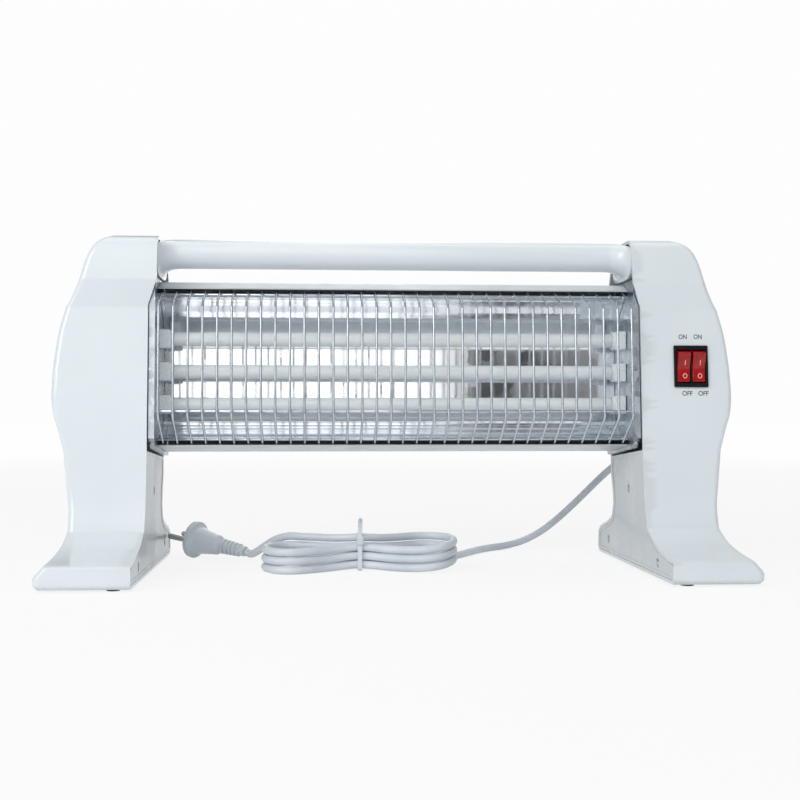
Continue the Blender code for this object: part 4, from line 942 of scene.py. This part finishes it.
def guard_tree():
    """One bent wire, given a section and repeated along X."""
    tree, given = new_tree("bent_wires", (
        ("Bends", "Geometry", None), ("Count", "Int", GUARD_WIRES), ("Half span", "Float", GUARD_HALF_SPAN * MM),
        ("Wire radius", "Float", WIRE_RADIUS * MM), ("Bend radius", "Float", BEND_RADIUS * MM),
        ("Lean", "Float", 0.0012), ("Seed", "Int", 7), ("Material", "Material", None),
    ))
    bent = add(tree, "GeometryNodeFilletCurve", {
        "Curve": add(tree, "GeometryNodeMeshToCurve", {"Mesh": given["Geometry"]}), "Radius": given["Bend radius"],
        "Count": 6, "Limit Radius": True,
    }, mode="POLY")
    back, low = (
        add(tree, "ShaderNodeMath", {0: given[size], 1: -1.0}, operation="MULTIPLY") for size in ("Half span", "Lean")
    )
    line = add(tree, "GeometryNodeMeshLine", {
        "Count": given["Count"], "Start Location": add(tree, "ShaderNodeCombineXYZ", {"X": back}),
        "Offset": add(tree, "ShaderNodeCombineXYZ", {"X": given["Half span"]}),
    }, mode="END_POINTS")
    sway = add(tree, "FunctionNodeRandomValue", {2: low, 3: given["Lean"], "Seed": given["Seed"]}, data_type="FLOAT")
    copies = add(tree, "GeometryNodeInstanceOnPoints", {
        "Points": line, "Instance": swept(tree, bent, given["Wire radius"], 14),
        "Rotation": add(tree, "ShaderNodeCombineXYZ", {"Z": sway.outputs[1]}),
    })
    return ended(tree, copies, given["Material"])


wire_bender = guard_tree()

# %% Bend the wires and weld them to the rails
bends = bpy.data.meshes.new("bends")
bends.from_pydata(
    [millimetres(0.0, y, z) for y, z in GUARD_LINE], [(i, i + 1) for i in range(len(GUARD_LINE) - 1)], [],
)
guard_parts = [grown("bent_wires", wire_bender, bends, 60.0, seed=7, material=guard_wire)]
beads = bmesh.new()
for depth, height, reach in GUARD_RAILS:
    inner = RAIL_RADIUS - RAIL_CHAMFER
    half = [(0.0, reach), (inner, reach), (RAIL_RADIUS, reach - RAIL_CHAMFER)]
    along = moved(0.0, depth, height) @ Matrix.Rotation(math.pi / 2, 4, "Y")
    guard_parts.append(turned("rail", [(radius, -place) for radius, place in half] + half[::-1], 16, along))
    for i in range(GUARD_WIRES):
        across = GUARD_HALF_SPAN * (2 * i / (GUARD_WIRES - 1) - 1)
        spot = moved(across, depth - WELD_FORWARD, height) @ Matrix.Diagonal((*WELD_SIZE, 1.0))
        bmesh.ops.create_uvsphere(beads, u_segments=10, v_segments=6, radius=MM, matrix=spot)
guard_parts.insert(1, mesh_piece("welds", beads))
guard = joined("bent_wire_guard", guard_parts, 50.0)
dress(guard, guard_wire, ["guard_grille"])
print("guard faces", len(guard.data.polygons))

# %% [markdown]
# ## Screws
# Every screw is the same pan head with a cross recess, cut once and placed on points. Geometry Nodes
# stand it on each point along the axis stored there, turn each one by its own chance amount, and a
# size input makes the smaller plate screws from the same head.

# %% Cut one screw
SCREW_HEAD, SCREW_RISE, SCREW_SHANK, SCREW_LENGTH = 3.0, 1.6, 1.4, 11.0
CROSS_FLOOR, CROSS_REACH, CROSS_DEPTH, CROSS_NARROW = 0.5, 2.35, 2.4, 0.3


def pan_head():
    """A screw along Z: its head's top at the origin and its thread below."""
    tip = -SCREW_RISE - SCREW_LENGTH
    head = turned("pan_head", [
        (0.0, tip), (0.5, tip), (SCREW_SHANK, tip + 2), (SCREW_SHANK, -SCREW_RISE), (SCREW_HEAD - 0.15, -SCREW_RISE),
        (SCREW_HEAD, -SCREW_RISE + 0.2), (SCREW_HEAD * 0.97, -0.75), (SCREW_HEAD * 0.84, -0.32),
        (SCREW_HEAD * 0.6, -0.1), (0.0, 0.0),
    ], 40)
    for turn in (0.0, math.pi / 2):
        shape = bmesh.new()
        bmesh.ops.create_cone(
            shape, cap_ends=True, segments=4, radius1=CROSS_FLOOR * MM, radius2=CROSS_REACH * MM,
            depth=CROSS_DEPTH * MM, matrix=Matrix.Rotation(math.pi / 4, 4, "Z"),
        )
        narrow = Matrix.Diagonal((1.0, CROSS_NARROW, 1.0, 1.0))
        shape.transform(Matrix.Rotation(turn, 4, "Z") @ moved(0.0, 0.0, -0.3) @ narrow)
        combine(head, mesh_piece("cross", shape))
    return settle(bevelled(head, 0.08), 40.0)


def screw_tree():
    """The same screw on every point, along the point's axis."""
    tree, given = new_tree("screws_on_points", (
        ("Screw", "Object", None), ("Size", "Float", 1.0), ("Seed", "Int", 3), ("Material", "Material", None),
    ))
    axis = add(tree, "GeometryNodeInputNamedAttribute", {"Name": "axis"}, data_type="FLOAT_VECTOR")
    chance = add(tree, "FunctionNodeRandomValue", {3: math.tau, "Seed": given["Seed"]}, data_type="FLOAT")
    facing = add(tree, "FunctionNodeRotateRotation", {
        "Rotation": add(tree, "FunctionNodeAlignRotationToVector", {"Vector": axis}, axis="Z"),
        "Rotate By": add(tree, "ShaderNodeCombineXYZ", {"Z": chance.outputs[1]}),
    }, rotation_space="LOCAL")
    copies = add(tree, "GeometryNodeInstanceOnPoints", {
        "Points": given["Geometry"], "Rotation": facing, "Scale": given["Size"],
        "Instance": add(tree, "GeometryNodeObjectInfo", {"Object": given["Screw"]}).outputs["Geometry"],
    })
    return ended(tree, copies, given["Material"])


screw_model, screw_placer = pan_head(), screw_tree()

# %% Place all the screws
COVER_SCREW_SEAT = 189.6
PLATE_SCREW_SEAT, PLATE_SCREW_RISE, PLATE_SCREW_SIZE = (186.6, -21.75, 99.95), 0.92, 0.567
PLATE_FOLD = ((-27.0, 104.0), (-16.5, 95.9))


def screws(name, spots, size, nodes):
    """Screws on (point, axis) pairs, as one piece."""
    points = bpy.data.meshes.new(name)
    points.from_pydata([point for point, axis in spots], [], [])
    stored = points.attributes.new("axis", "FLOAT_VECTOR", "POINT")
    for i, (point, axis) in enumerate(spots):
        stored.data[i].vector = axis
    piece = grown(name, screw_placer, points, 40.0, screw=screw_model, size=size, material=screw_nickel)
    print(name, "faces", len(piece.data.polygons))
    return dress(piece, screw_nickel, nodes)


fold = (Vector(PLATE_FOLD[0]) - Vector(PLATE_FOLD[1])).normalized()
outward = Vector((0.0, -fold.y, fold.x))
for side_name, side in SIDES:
    seats = [millimetres(side * COVER_SCREW_SEAT, depth, height) for depth, height in SCREW_PLACES]
    screws(
        f"{side_name}_cover_screws", [(seat, (-side, 0.0, 0.0)) for seat in seats], 1.0,
        [f"{side_name}_cover_screw_{i + 1}" for i in range(len(seats))],
    )
    across, depth, height = PLATE_SCREW_SEAT
    seat = Vector(millimetres(side * across, depth, height)) + outward * PLATE_SCREW_RISE * MM
    screws(f"{side_name}_plate_cross_screw", [(seat, outward)], PLATE_SCREW_SIZE, [f"{side_name}_plate_screw"])
bpy.data.objects.remove(screw_model, do_unlink=True)

# %% [markdown]
# ## Rubber feet
# Four soft buttons under the housings keep the heater from sliding.

# %% Turn the feet
FOOT_PLACES = (("toe", 202.0, -93.0), ("heel", 205.0, 88.0))
FOOT_PROFILE = (
    (0.0, 0.0), (4.3, 0.0), (4.55, 0.06), (4.78, 0.2), (4.94, 0.42), (5.0, 0.7), (5.0, 1.5), (0.0, 1.5),
)

for foot_name, across, depth in FOOT_PLACES:
    for side_name, side in SIDES:
        foot = turned(f"{side_name}_{foot_name}_pad", FOOT_PROFILE, 48, moved(side * across, depth, 0.0))
        dress(foot, foot_rubber, [f"{side_name}_{foot_name}_foot"])
print("foot faces", len(foot.data.polygons))

# %% [markdown]
# ## The switch
# Two rocker keys sit side by side in one black frame that snaps into the housing. The frame is a
# plain block with a softened rim and a deep pocket for each key.

# %% Mould the switch frame
KEY_OFFSET, KEY_WIDTH, KEY_REACH, KEY_PIVOT_DEPTH, KEY_GAP = 5.9, 9.9, 12.6, 2.6, 0.35
FRAME_HALF_WIDTH, FRAME_HALF_HEIGHT, FRAME_FRONT, FRAME_SEAT = 13.4, 16.2, -1.9, -0.3
CORE_LOW, CORE_HIGH = (-11.8, -1.0, -14.4), (11.8, 20.0, 14.4)
POCKET_FRONT, POCKET_FLOOR = -10.0, 11.0

frame_rim = block(
    "switch_frame", (-FRAME_HALF_WIDTH, FRAME_FRONT, -FRAME_HALF_HEIGHT),
    (FRAME_HALF_WIDTH, FRAME_SEAT, FRAME_HALF_HEIGHT), switch_place, bevel=0.6, segments=4,
)
combine(frame_rim, block("switch_core", CORE_LOW, CORE_HIGH, switch_place), "UNION")
half_width, half_height = KEY_WIDTH / 2 + KEY_GAP, KEY_REACH + KEY_GAP
for side_name, side in SIDES:
    low = (side * KEY_OFFSET - half_width, POCKET_FRONT, -half_height)
    high = (side * KEY_OFFSET + half_width, POCKET_FLOOR, half_height)
    combine(frame_rim, block("pocket", low, high, switch_place))
settle(bevelled(frame_rim, 0.18, 2, 50.0), 40.0)
dress(frame_rim, frame_black, ["switch_body"])
print("switch frame faces", len(frame_rim.data.polygons))

# %% [markdown]
# ## The rocker keys
# Seen from the side a key is two arcs and a shallow valley between them. Its lower end is pressed
# in. A line mark sits on the raised half of each key and a ring mark on the pressed half.

# %% Mould the two keys with their marks
KEY_TIP, KEY_VALLEY, KEY_SKIRT, KEY_TILT = 6.155, 4.2, 2.0, 10
VALLEY_SOFTNESS = 0.012
MARK_SIDE, MARK_RISE = 0.9, 0.14
LINE_MARK, LINE_MARK_HEIGHT = ((-0.3, -1.9), (0.3, -1.9), (0.3, 1.9), (-0.3, 1.9)), 3.6
RING_MARK_OUTSIDE, RING_MARK_INSIDE, RING_MARK_HEIGHT = (1.75, 1.95), (1.2, 1.4), -6.6
tip_height = KEY_REACH * math.cos(math.asin(KEY_TIP / KEY_REACH))


def key_outline():
    """The key's side view as (depth, height) points."""
    top, low = math.asin(KEY_TIP / KEY_REACH), math.asin(-KEY_SKIRT / KEY_REACH)
    turns = [low + (top - low) * i / 16 for i in range(17)]
    arc = [(-KEY_REACH * math.sin(turn), KEY_REACH * math.cos(turn)) for turn in turns]
    valley = []
    for i in range(1, 12):
        share = 1 - i / 6
        softened = math.sqrt(share**2 + VALLEY_SOFTNESS) / math.sqrt(1 + VALLEY_SOFTNESS)
        valley.append((-KEY_VALLEY - (KEY_TIP - KEY_VALLEY) * softened, tip_height * share))
    return arc + valley + [(depth, -height) for depth, height in reversed(arc)]


def oval(half_width, half_height, count=32):
    turns = [math.tau * i / count for i in range(count)]
    return [(half_width * math.cos(turn), half_height * math.sin(turn)) for turn in turns]


def key_mark(name, place, height, outline, hole=None):
    """A mark printed on one half of a key's face, with a slight rise, and open in the middle if it has a hole."""
    depth = -KEY_VALLEY - (KEY_TIP - KEY_VALLEY) * abs(height) / tip_height
    lean = math.atan2(KEY_TIP - KEY_VALLEY, tip_height) * (1 if height > 0 else -1)
    lines = [(outline, 0.0), (outline, -MARK_RISE)]
    if hole:
        lines += [(hole, -MARK_RISE), (hole, 0.0), (outline, 0.0)]
    shape = loft([[(x, rise, z) for x, z in line] for line, rise in lines], caps=not hole)
    shape.transform(place @ moved(MARK_SIDE, depth + 0.02, height) @ Matrix.Rotation(lean, 4, "X"))
    return mesh_piece(name, shape)


for side_name, side in SIDES:
    pivot = moved(side * KEY_OFFSET, KEY_PIVOT_DEPTH, 0.0)
    key_place = switch_place @ pivot @ Matrix.Rotation(math.radians(KEY_TILT), 4, "X")
    key = plate_across(f"{side_name}_key", key_outline(), -KEY_WIDTH / 2, KEY_WIDTH / 2, key_place)
    settle(bevelled(key, 0.5, 4, 50.0), 40.0)
    dress(key, key_red, [f"rocker_{side_name}"], f"rocker_{side_name}")
    for mark in (
        key_mark(f"{side_name}_line_mark", key_place, LINE_MARK_HEIGHT, LINE_MARK),
        key_mark(
            f"{side_name}_ring_mark", key_place, RING_MARK_HEIGHT, oval(*RING_MARK_OUTSIDE), oval(*RING_MARK_INSIDE),
        ),
    ):
        dress(mark, mark_ink, [], f"rocker_{side_name}")
print("key faces", len(key.data.polygons))

# %% [markdown]
# ## The printed words
# Small words above and below the switch say which end of a key is which. Each one is a text object,
# turned into a mesh, sized, and laid on the leaning front with a hair of thickness for the ink.

# %% Print the words
WORDS = (
    ("ON", 221.85, 182.4, 6.5), ("ON", 233.7, 182.5, 6.5), ("OFF", 224.5, 138.5, 8.1), ("OFF", 237.2, 138.5, 8.1),
)
WORD_HEIGHT, INK_THICKNESS = 3.7, 0.07


def printed(name, letters, across, height, width):
    """A word on the housing's front, as wide and as tall as asked."""
    text = bpy.data.curves.new(name, "FONT")
    text.body = letters
    text.align_x = text.align_y = "CENTER"
    text.extrude, text.offset = 0.5, 0.018
    word = in_scene(f"{name}_text", text)
    bpy.context.view_layer.update()
    mesh = bpy.data.meshes.new_from_object(word.evaluated_get(bpy.context.evaluated_depsgraph_get()))
    bpy.data.objects.remove(word, do_unlink=True)
    low, high = (Vector([pick(vertex.co[i] for vertex in mesh.vertices) for i in range(3)]) for pick in (min, max))
    squeeze = millimetres(width / (high.x - low.x), WORD_HEIGHT / (high.y - low.y), INK_THICKNESS)
    spot = moved(across - SWITCH_X, 0.005, (height - SWITCH_Z) / math.cos(front_slope))
    stand = Matrix.Rotation(math.pi / 2, 4, "X")
    scale = Matrix.Diagonal((*squeeze, 1.0))
    mesh.transform(switch_place @ spot @ stand @ scale @ Matrix.Translation(-(low + high) / 2))
    shape = bmesh.new()
    shape.from_mesh(mesh)
    return mesh_piece(name, shape)


for i, (letters, *place) in enumerate(WORDS):
    word = printed(f"word_{letters.lower()}_{i % 2 + 1}", letters, *place)
    dress(word, word_ink)
print("words printed", len(WORDS))

# %% [markdown]
# ## The mains lead
# The lead is one unbroken length. It leaves a gland in the right leg's back wall, sinks to the floor,
# runs forward between the legs into a tied hank of long, pinched loops, and ends in a two-pin plug.
# Its route is a list of points joined by a smooth curve.

# %% Lay the lead along its route
CORD_RADIUS, FLOOR_GAP = 3.1, 0.2
HANK_X, HANK_Y, HANK_LOOPS = -28.0, 2.0, 3
HANK_HALF_LENGTH, HANK_HALF_WIDTH, HANK_WAIST, HANK_PITCH = 74.0, 47.0, 3.45, 6.85
HANK_START, HANK_TURN = math.radians(52), math.radians(108 - 52) + math.tau * HANK_LOOPS
CLIMB_START, CLIMB_END = math.radians(-75), math.radians(20)
LIFT_SPREAD, TIE_THICKNESS, TIE_CLEARANCE, TIE_WIDTH = 16.0, 1.0, 0.35, 3.6
GLAND_REACH = 30.0
PLUG_LENGTH, PLUG_RADIUS, PLUG_HEADING, PLUG_TILT = 54.0, 15.5, math.radians(150), math.radians(8.5)
PLUG_BACK = Vector((-121.0, 58.0, 0.0))
LEAD_ROUTE = (
    (1.0, 103.0, 78.6), (0.993, 114.0, 75.5), (0.966, 124.5, 68.0), (0.917, 132.5, 56.0), (0.854, 137.5, 42.0),
    (0.782, 139.5, 28.0), (0.704, 138.5, 16.0), (0.621, 134.0, 8.0), (0.534, 126.0, 4.2), (0.451, 114.0, 3.5),
    (0.388, 99.0, 3.3), (0.335, 82.0, 3.3), (0.286, 66.0, 3.3), (0.233, 53.0, 3.3),
)
PLUG_ROUTE = ((-74.0, 23.5, 24.1), (-86.0, 32.5, 23.4), (-98.0, 42.5, 18.4))
BEFORE_HANK, AFTER_HANK, BEFORE_PLUG, SOCKET_GAP = (18.2, 6.2), (6.2, 14.2), 8.0, 0.3
PLUG_REST = 5.0


def hank_point(turn):
    """A point of the hank: a long loop drawn in at its waist, one cord higher with each turn."""
    loops = math.floor((turn - CLIMB_START) / math.tau)
    share = min(max((turn - CLIMB_START - loops * math.tau) / (CLIMB_END - CLIMB_START), 0.0), 1.0)
    level = loops - 1 + share * share * (3 - 2 * share)
    rise, across = math.sin(turn), HANK_HALF_LENGTH * math.cos(turn)
    aside = rise * (HANK_WAIST + (HANK_HALF_WIDTH - HANK_WAIST) * (1 - rise**4))
    lift = (TIE_THICKNESS + TIE_CLEARANCE) * math.exp(-((across / LIFT_SPREAD) ** 2))
    return Vector((HANK_X + across, HANK_Y + aside, CORD_RADIUS + FLOOR_GAP + lift + HANK_PITCH * level))


def flat_direction(start, end):
    step = end - start
    step.z = 0.0
    return step.normalized()


def smooth_route(points, steps=8):
    """A smooth curve through the route's own points."""
    points = [Vector(point) for point in points]
    padded = [2 * points[0] - points[1]] + points + [2 * points[-1] - points[-2]]
    fine = []
    for a, b, c, d in zip(padded, padded[1:], padded[2:], padded[3:]):
        for i in range(steps):
            t = i / steps
            fine.append(
                (b * 2 + (c - a) * t + (a * 2 - b * 5 + c * 4 - d) * t**2 + (b * 3 - a - c * 3 + d) * t**3) / 2
            )
    return fine + [points[-1]]


def plug_placing():
    """Where the plug lies: its face at the origin and its Z towards the lead."""
    heading = Vector((math.cos(PLUG_HEADING), math.sin(PLUG_HEADING), 0.0))
    axis = (-heading * math.cos(PLUG_TILT) - Vector((0, 0, math.sin(PLUG_TILT)))).normalized()
    face = PLUG_BACK + heading * PLUG_LENGTH * math.cos(PLUG_TILT)
    face.z = PLUG_RADIUS * math.cos(PLUG_TILT) + PLUG_REST * math.sin(PLUG_TILT) + FLOOR_GAP
    side = axis.cross(Vector((0, 0, 1))).normalized()
    turn = Matrix((side, side.cross(axis), axis)).transposed().to_4x4()
    return moved(*face) @ turn, face + axis * PLUG_LENGTH, axis


plug_place, plug_entry, plug_axis = plug_placing()
hank_count = round(HANK_TURN / math.tau * 60)
hank = [hank_point(HANK_START + HANK_TURN * i / hank_count) for i in range(hank_count + 1)]
before_hank, after_hank = flat_direction(hank[1], hank[0]), flat_direction(hank[-2], hank[-1])
exit_point = Vector((GLAND_X, gland_back + GLAND_REACH + SOCKET_GAP, GLAND_Z))
lead_points = [exit_point] + [Vector((share * GLAND_X, y, z)) for share, y, z in LEAD_ROUTE]
lead_points += [hank[0] + before_hank * reach for reach in BEFORE_HANK]
tail_points = [hank[-1] + after_hank * reach for reach in AFTER_HANK] + [Vector(point) for point in PLUG_ROUTE]
tail_points += [plug_entry + plug_axis * reach for reach in (BEFORE_PLUG, SOCKET_GAP)]
route = smooth_route(lead_points)[:-1] + smooth_route([lead_points[-1]] + hank + [tail_points[0]], 2)[:-1]
route += smooth_route(tail_points)
line = bpy.data.curves.new("mains_cord", "CURVE")
line.dimensions = "3D"
spline = line.splines.new("POLY")
spline.points.add(len(route) - 1)
for point, place in zip(spline.points, route):
    point.co = (*(place * MM), 1.0)
line.bevel_depth, line.bevel_resolution, line.use_fill_caps = CORD_RADIUS * MM, 7, True
cord = dress(in_scene("mains_cord", line), sheath, ["power_cord", "cord_hank", "plug_lead"])

# %% [markdown]
# ## Gland, plug and tie
# The gland grips the wall with two collars, and its ribbed cone lets the lead bend gently. The plug
# is a low round plug for a recessed socket, with the same kind of ribbed cone moulded on its back.
# A strap with a small lock and a loose tail holds the hank at its waist.

# %% Turn the gland, the plug and its pins
GLAND_COLLARS = (
    (0.0, -6.0), (5.8, -6.0), (6.1, -5.7), (6.1, -3.7), (4.3, -3.7), (4.3, 0.15), (6.5, 0.15), (6.85, 0.5), (6.9, 0.9),
    (6.9, 4.0), (6.75, 4.4), (6.4, 4.6), (5.25, 4.8),
)
GLAND_MOUTH = ((4.05, 27.6), (4.0, 29.6), (3.85, GLAND_REACH), (0.0, GLAND_REACH))
PLUG_BODY = (
    (0.0, 0.0), (14.2, 0.0), (14.9, 0.25), (15.35, 0.8), (PLUG_RADIUS, 1.4), (PLUG_RADIUS, 4.4), (15.2, 4.95),
    (14.6, 5.3), (13.2, 5.7), (12.0, 6.8), (11.3, 8.4), (11.0, 10.5), (10.2, 15.0), (8.9, 22.5), (8.45, 25.5),
    (8.2, 27.0), (7.4, 28.4), (6.4, 29.2), (5.2, 30.2),
)
PLUG_MOUTH = ((4.4, 50.4), (4.3, 53.5), (4.1, PLUG_LENGTH), (0.0, PLUG_LENGTH))
PIN_PROFILE = (
    (0.0, -19.0), (0.9, -18.9), (1.6, -18.55), (2.05, -18.0), (2.3, -17.3), (2.4, -16.4), (2.4, -0.05), (0.0, -0.05),
)
PIN_OFFSET = 9.5


def ribbed(start, end, thick, thin, ribs, groove):
    """A profile along a cone with ribs: (radius, place) pairs."""
    profile = []
    pitch = (end - start) / ribs
    for i in range(ribs):
        for place, depth in ((0.0, groove), (0.12, 0.25), (0.2, 0.0), (0.6, 0.0), (0.68, 0.25), (0.8, groove)):
            along = start + (i + place) * pitch
            profile.append((thick + (thin - thick) * (along - start) / (end - start) - depth, along))
    return profile


gland_profile = [*GLAND_COLLARS, *ribbed(5.6, 27.0, 5.2, 4.15, 6, 1.0), *GLAND_MOUTH]
gland = turned("ribbed_gland", gland_profile, 48, gland_place, 30.0)
dress(gland, sheath, ["cord_gland"])
plug = turned("plug_moulding", [*PLUG_BODY, *ribbed(31.0, 50.0, 6.5, 5.3, 5, 1.6), *PLUG_MOUTH], 64, plug_place, 32.0)
dress(plug, plug_plastic, ["plug_body"])
for number, (side_name, side) in enumerate(SIDES, start=1):
    pin = turned(f"round_pin_{number}", PIN_PROFILE, 32, plug_place @ moved(side * PIN_OFFSET, 0, 0))
    dress(pin, pin_nickel, [f"plug_pin_{number}"])
print("plug faces", len(plug.data.polygons), "gland faces", len(gland.data.polygons))

# %% Close the tie round the hank
TAIL_LINE = ((-1.9, -6.0), (-2.2, -1.0), (-3.4, 4.0), (-6.4, 9.0), (-10.6, 12.6))
TAIL_HALF_WIDTH, TAIL_HALF_THICKNESS, TAIL_TAPER = 1.7, 0.45, 0.35
TIE_CORNERS = (2.6, 1.8)
LOCK_LOW, LOCK_HIGH = (-2.6, -2.6, -9.0), (2.6, -0.4, -3.2)

waist = [point for point in route if abs(point.x - HANK_X) < TIE_WIDTH + 4 and abs(point.y - HANK_Y) < 12]
tie_depth = max(abs(point.y - HANK_Y) for point in waist) + CORD_RADIUS + TIE_CLEARANCE
tie_top = max(point.z for point in waist) + CORD_RADIUS + TIE_CLEARANCE + TIE_THICKNESS
tie_base = FLOOR_GAP / 2


def rounded_frame(inset, radius, steps=6):
    """The tie's loop, so far inside its outer line, as (depth, height) points."""
    ring = []
    reach, low, high = tie_depth + TIE_THICKNESS - inset - radius, tie_base + inset + radius, tie_top - inset - radius
    for y, z, quarter in ((reach, high, 0), (-reach, high, 1), (-reach, low, 2), (reach, low, 3)):
        for i in range(steps + 1):
            turn = math.pi / 2 * (quarter + i / steps)
            ring.append((HANK_Y + y + radius * math.cos(turn), z + radius * math.sin(turn)))
    return ring


outer_loop, inner_loop = map(rounded_frame, (0.0, TIE_THICKNESS), TIE_CORNERS)
edges = ((outer_loop, -1), (outer_loop, 1), (inner_loop, 1), (inner_loop, -1), (outer_loop, -1))
strap = mesh_piece(
    "strap", loft([[(HANK_X + across * TIE_WIDTH / 2, y, z) for y, z in loop] for loop, across in edges], caps=False),
)
lock_front = HANK_Y - tie_depth
low, high = (Vector((HANK_X, lock_front, tie_top)) + Vector(corner) for corner in (LOCK_LOW, LOCK_HIGH))
lock = block("lock", low, high, bevel=0.5, segments=3)
tail_middle = smooth_route([(0.0, lock_front + y, tie_top + z) for y, z in TAIL_LINE], 6)
tail_rings = []
for i, middle in enumerate(tail_middle):
    ahead = tail_middle[min(i + 1, len(tail_middle) - 1)] - tail_middle[max(i - 1, 0)]
    thick = Vector((0.0, -ahead.z, ahead.y)).normalized() * TAIL_HALF_THICKNESS
    half = TAIL_HALF_WIDTH - TAIL_TAPER * max(i - len(tail_middle) + 4, 0)
    tail_rings.append([
        (HANK_X + side * half, middle.y + turn * thick.y, middle.z + turn * thick.z)
        for side, turn in ((-1, -1), (1, -1), (1, 1), (-1, 1))
    ])
tie = joined("hank_tie", [strap, lock, mesh_piece("tail", loft(tail_rings))])
settle(bevelled(tie, 0.12, 2, 50.0), 35.0)
dress(tie, plug_plastic, ["cord_tie"])
print("tie top", round(tie_top, 2), "tie depth", round(tie_depth, 2))

# %% [markdown]
# ## Floor, backdrop and light
# The heater stands on a wide pale floor. The camera, and any metal or quartz, sees floor and room as
# almost white, while the light that reaches the object comes only from the lamps and a dim world.
# Near the heater the floor glows a little less, so that it keeps the shadow. Polished metal needs
# something to mirror, so the room holds bright cards and a few dark gaps. Large soft lamps stand
# left, right, in front and above, as in a small product studio. The front one is kept out of
# mirrored rays, so that it leaves no white patch on the mouldings.

# %% Stage the floor
FLOOR_HALF_SIZE = 20
PAPER = (0.86, 0.87, 0.88)
GLOW_FADE = {"From Min": 0.5, "From Max": 3.0, "To Min": 0.84, "To Max": 0.985}


def seen_directly(tree, kinds):
    """One when the ray is any of these kinds."""
    path = tree.nodes.new("ShaderNodeLightPath").outputs
    value = path[kinds[0]]
    for kind in kinds[1:]:
        value = add(tree, "ShaderNodeMath", {0: value, 1: path[kind]}, operation="MAXIMUM").outputs[0]
    return value


def backdrop_material():
    """White to the eye and in reflections, with the object's shadow still on it."""
    material = bpy.data.materials.new("backdrop")
    material.use_nodes = True
    tree = material.node_tree
    tree.nodes.clear()
    place = tree.nodes.new("ShaderNodeTexCoord").outputs["Object"]
    away = add(tree, "ShaderNodeVectorMath", {0: place}, operation="LENGTH")
    share = add(tree, "ShaderNodeMath", {
        0: seen_directly(tree, ("Is Camera Ray", "Is Transmission Ray", "Is Glossy Ray")),
        1: add(tree, "ShaderNodeMapRange", {"Value": away.outputs["Value"], **GLOW_FADE}),
    }, operation="MULTIPLY")
    add(tree, "ShaderNodeOutputMaterial", {"Surface": add(tree, "ShaderNodeMixShader", {
        "Fac": share, 1: add(tree, "ShaderNodeBsdfDiffuse", {"Color": PAPER}),
        2: add(tree, "ShaderNodeEmission", {"Color": (1.0, 1.0, 1.0)}),
    })})
    return material


floor_mesh = bpy.data.meshes.new("floor")
corners = ((-1, -1), (1, -1), (1, 1), (-1, 1))
floor_mesh.from_pydata([(FLOOR_HALF_SIZE * x, FLOOR_HALF_SIZE * y, 0.0) for x, y in corners], [], [(0, 1, 2, 3)])
floor_mesh.materials.append(backdrop_material())
in_scene("floor", floor_mesh)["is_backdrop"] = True
print("floor", 2 * FLOOR_HALF_SIZE, "m wide")

# %% Set the lamps and the room
LAMPS = (
    ("key", (-1.6, -1.5, 1.1), 1.3, 1.3, 22.0, (1.0, 0.985, 0.97)),
    ("front", (-0.1, -2.2, 1.75), 1.6, 0.9, 16.0, (0.98, 0.99, 1.0)),
    ("fill", (1.7, -1.2, 0.9), 1.2, 1.2, 1.6, (0.95, 0.98, 1.0)),
    ("top", (0.0, 0.2, 1.9), 1.8, 1.2, 6.0, (0.98, 0.99, 1.0)),
)
LAMP_AIM = Vector((0.0, 0.0, 0.12))
ROOM_LEVEL, ROOM_SEEN = 0.37, 0.985
ROOM_CARDS = (
    (0.0, 0.6), (0.3, 1.0), (0.38, 1.9), (0.6, 1.6), (0.628, 0.9), (0.643, 0.02), (0.69, 0.02), (0.8, 0.36),
    (1.0, 0.34),
)

for lamp_name, place, wide, tall, power, tint in LAMPS:
    lamp = bpy.data.lights.new(lamp_name, "AREA")
    lamp.shape = "RECTANGLE"
    lamp.size, lamp.size_y = wide, tall
    lamp.energy, lamp.color = power, tint
    stand = in_scene(lamp_name, lamp)
    stand.location = place
    stand.rotation_euler = (LAMP_AIM - Vector(place)).to_track_quat("-Z", "Y").to_euler()
    stand.visible_glossy = lamp_name != "front"
world = bpy.data.worlds.new("studio")
scene.world = world
world.use_nodes = True
room = world.node_tree
around = room.nodes.new("ShaderNodeTexCoord").outputs["Generated"]
towards = add(room, "ShaderNodeSeparateXYZ", {"Vector": around}).outputs
sideways = add(room, "ShaderNodeMath", {0: towards["X"], 1: towards["Y"]}, operation="DIVIDE")
spread = add(room, "ShaderNodeMapRange", {"Value": sideways, "From Min": 0.5, "From Max": -0.5})
cards = add(room, "ShaderNodeValToRGB", {"Fac": spread})
cards.color_ramp.elements.remove(cards.color_ramp.elements[0])
for i, (place, level) in enumerate(ROOM_CARDS):
    element = cards.color_ramp.elements.new(place) if i else cards.color_ramp.elements[0]
    element.position = place
    element.color = (level, level, level * 1.04, 1.0)
strength = ROOM_LEVEL
for kinds, level in ((["Is Glossy Ray"], cards), (["Is Camera Ray", "Is Transmission Ray"], ROOM_SEEN)):
    strength = add(room, "ShaderNodeMix", {"Factor": seen_directly(room, kinds), "A": strength, "B": level})
sky = room.nodes["Background"]
fill(room, sky, "Color", (1.0, 1.0, 1.0))
fill(room, sky, "Strength", strength)
scene.view_settings.view_transform = "Standard"
print("lamps", [lamp[0] for lamp in LAMPS])

# %% [markdown]
# ## The size of the dressed model
# The dressed model is meant to keep the size of the bare one, so both boxes are printed.

# %% Print the two boxes
full_box = [list(corner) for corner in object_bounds()]
for label, box in (("solids", cad_box), ("dressed", full_box)):
    print(label, [round((high - low) * 1000, 1) for low, high in zip(box[0], box[1])], "mm")
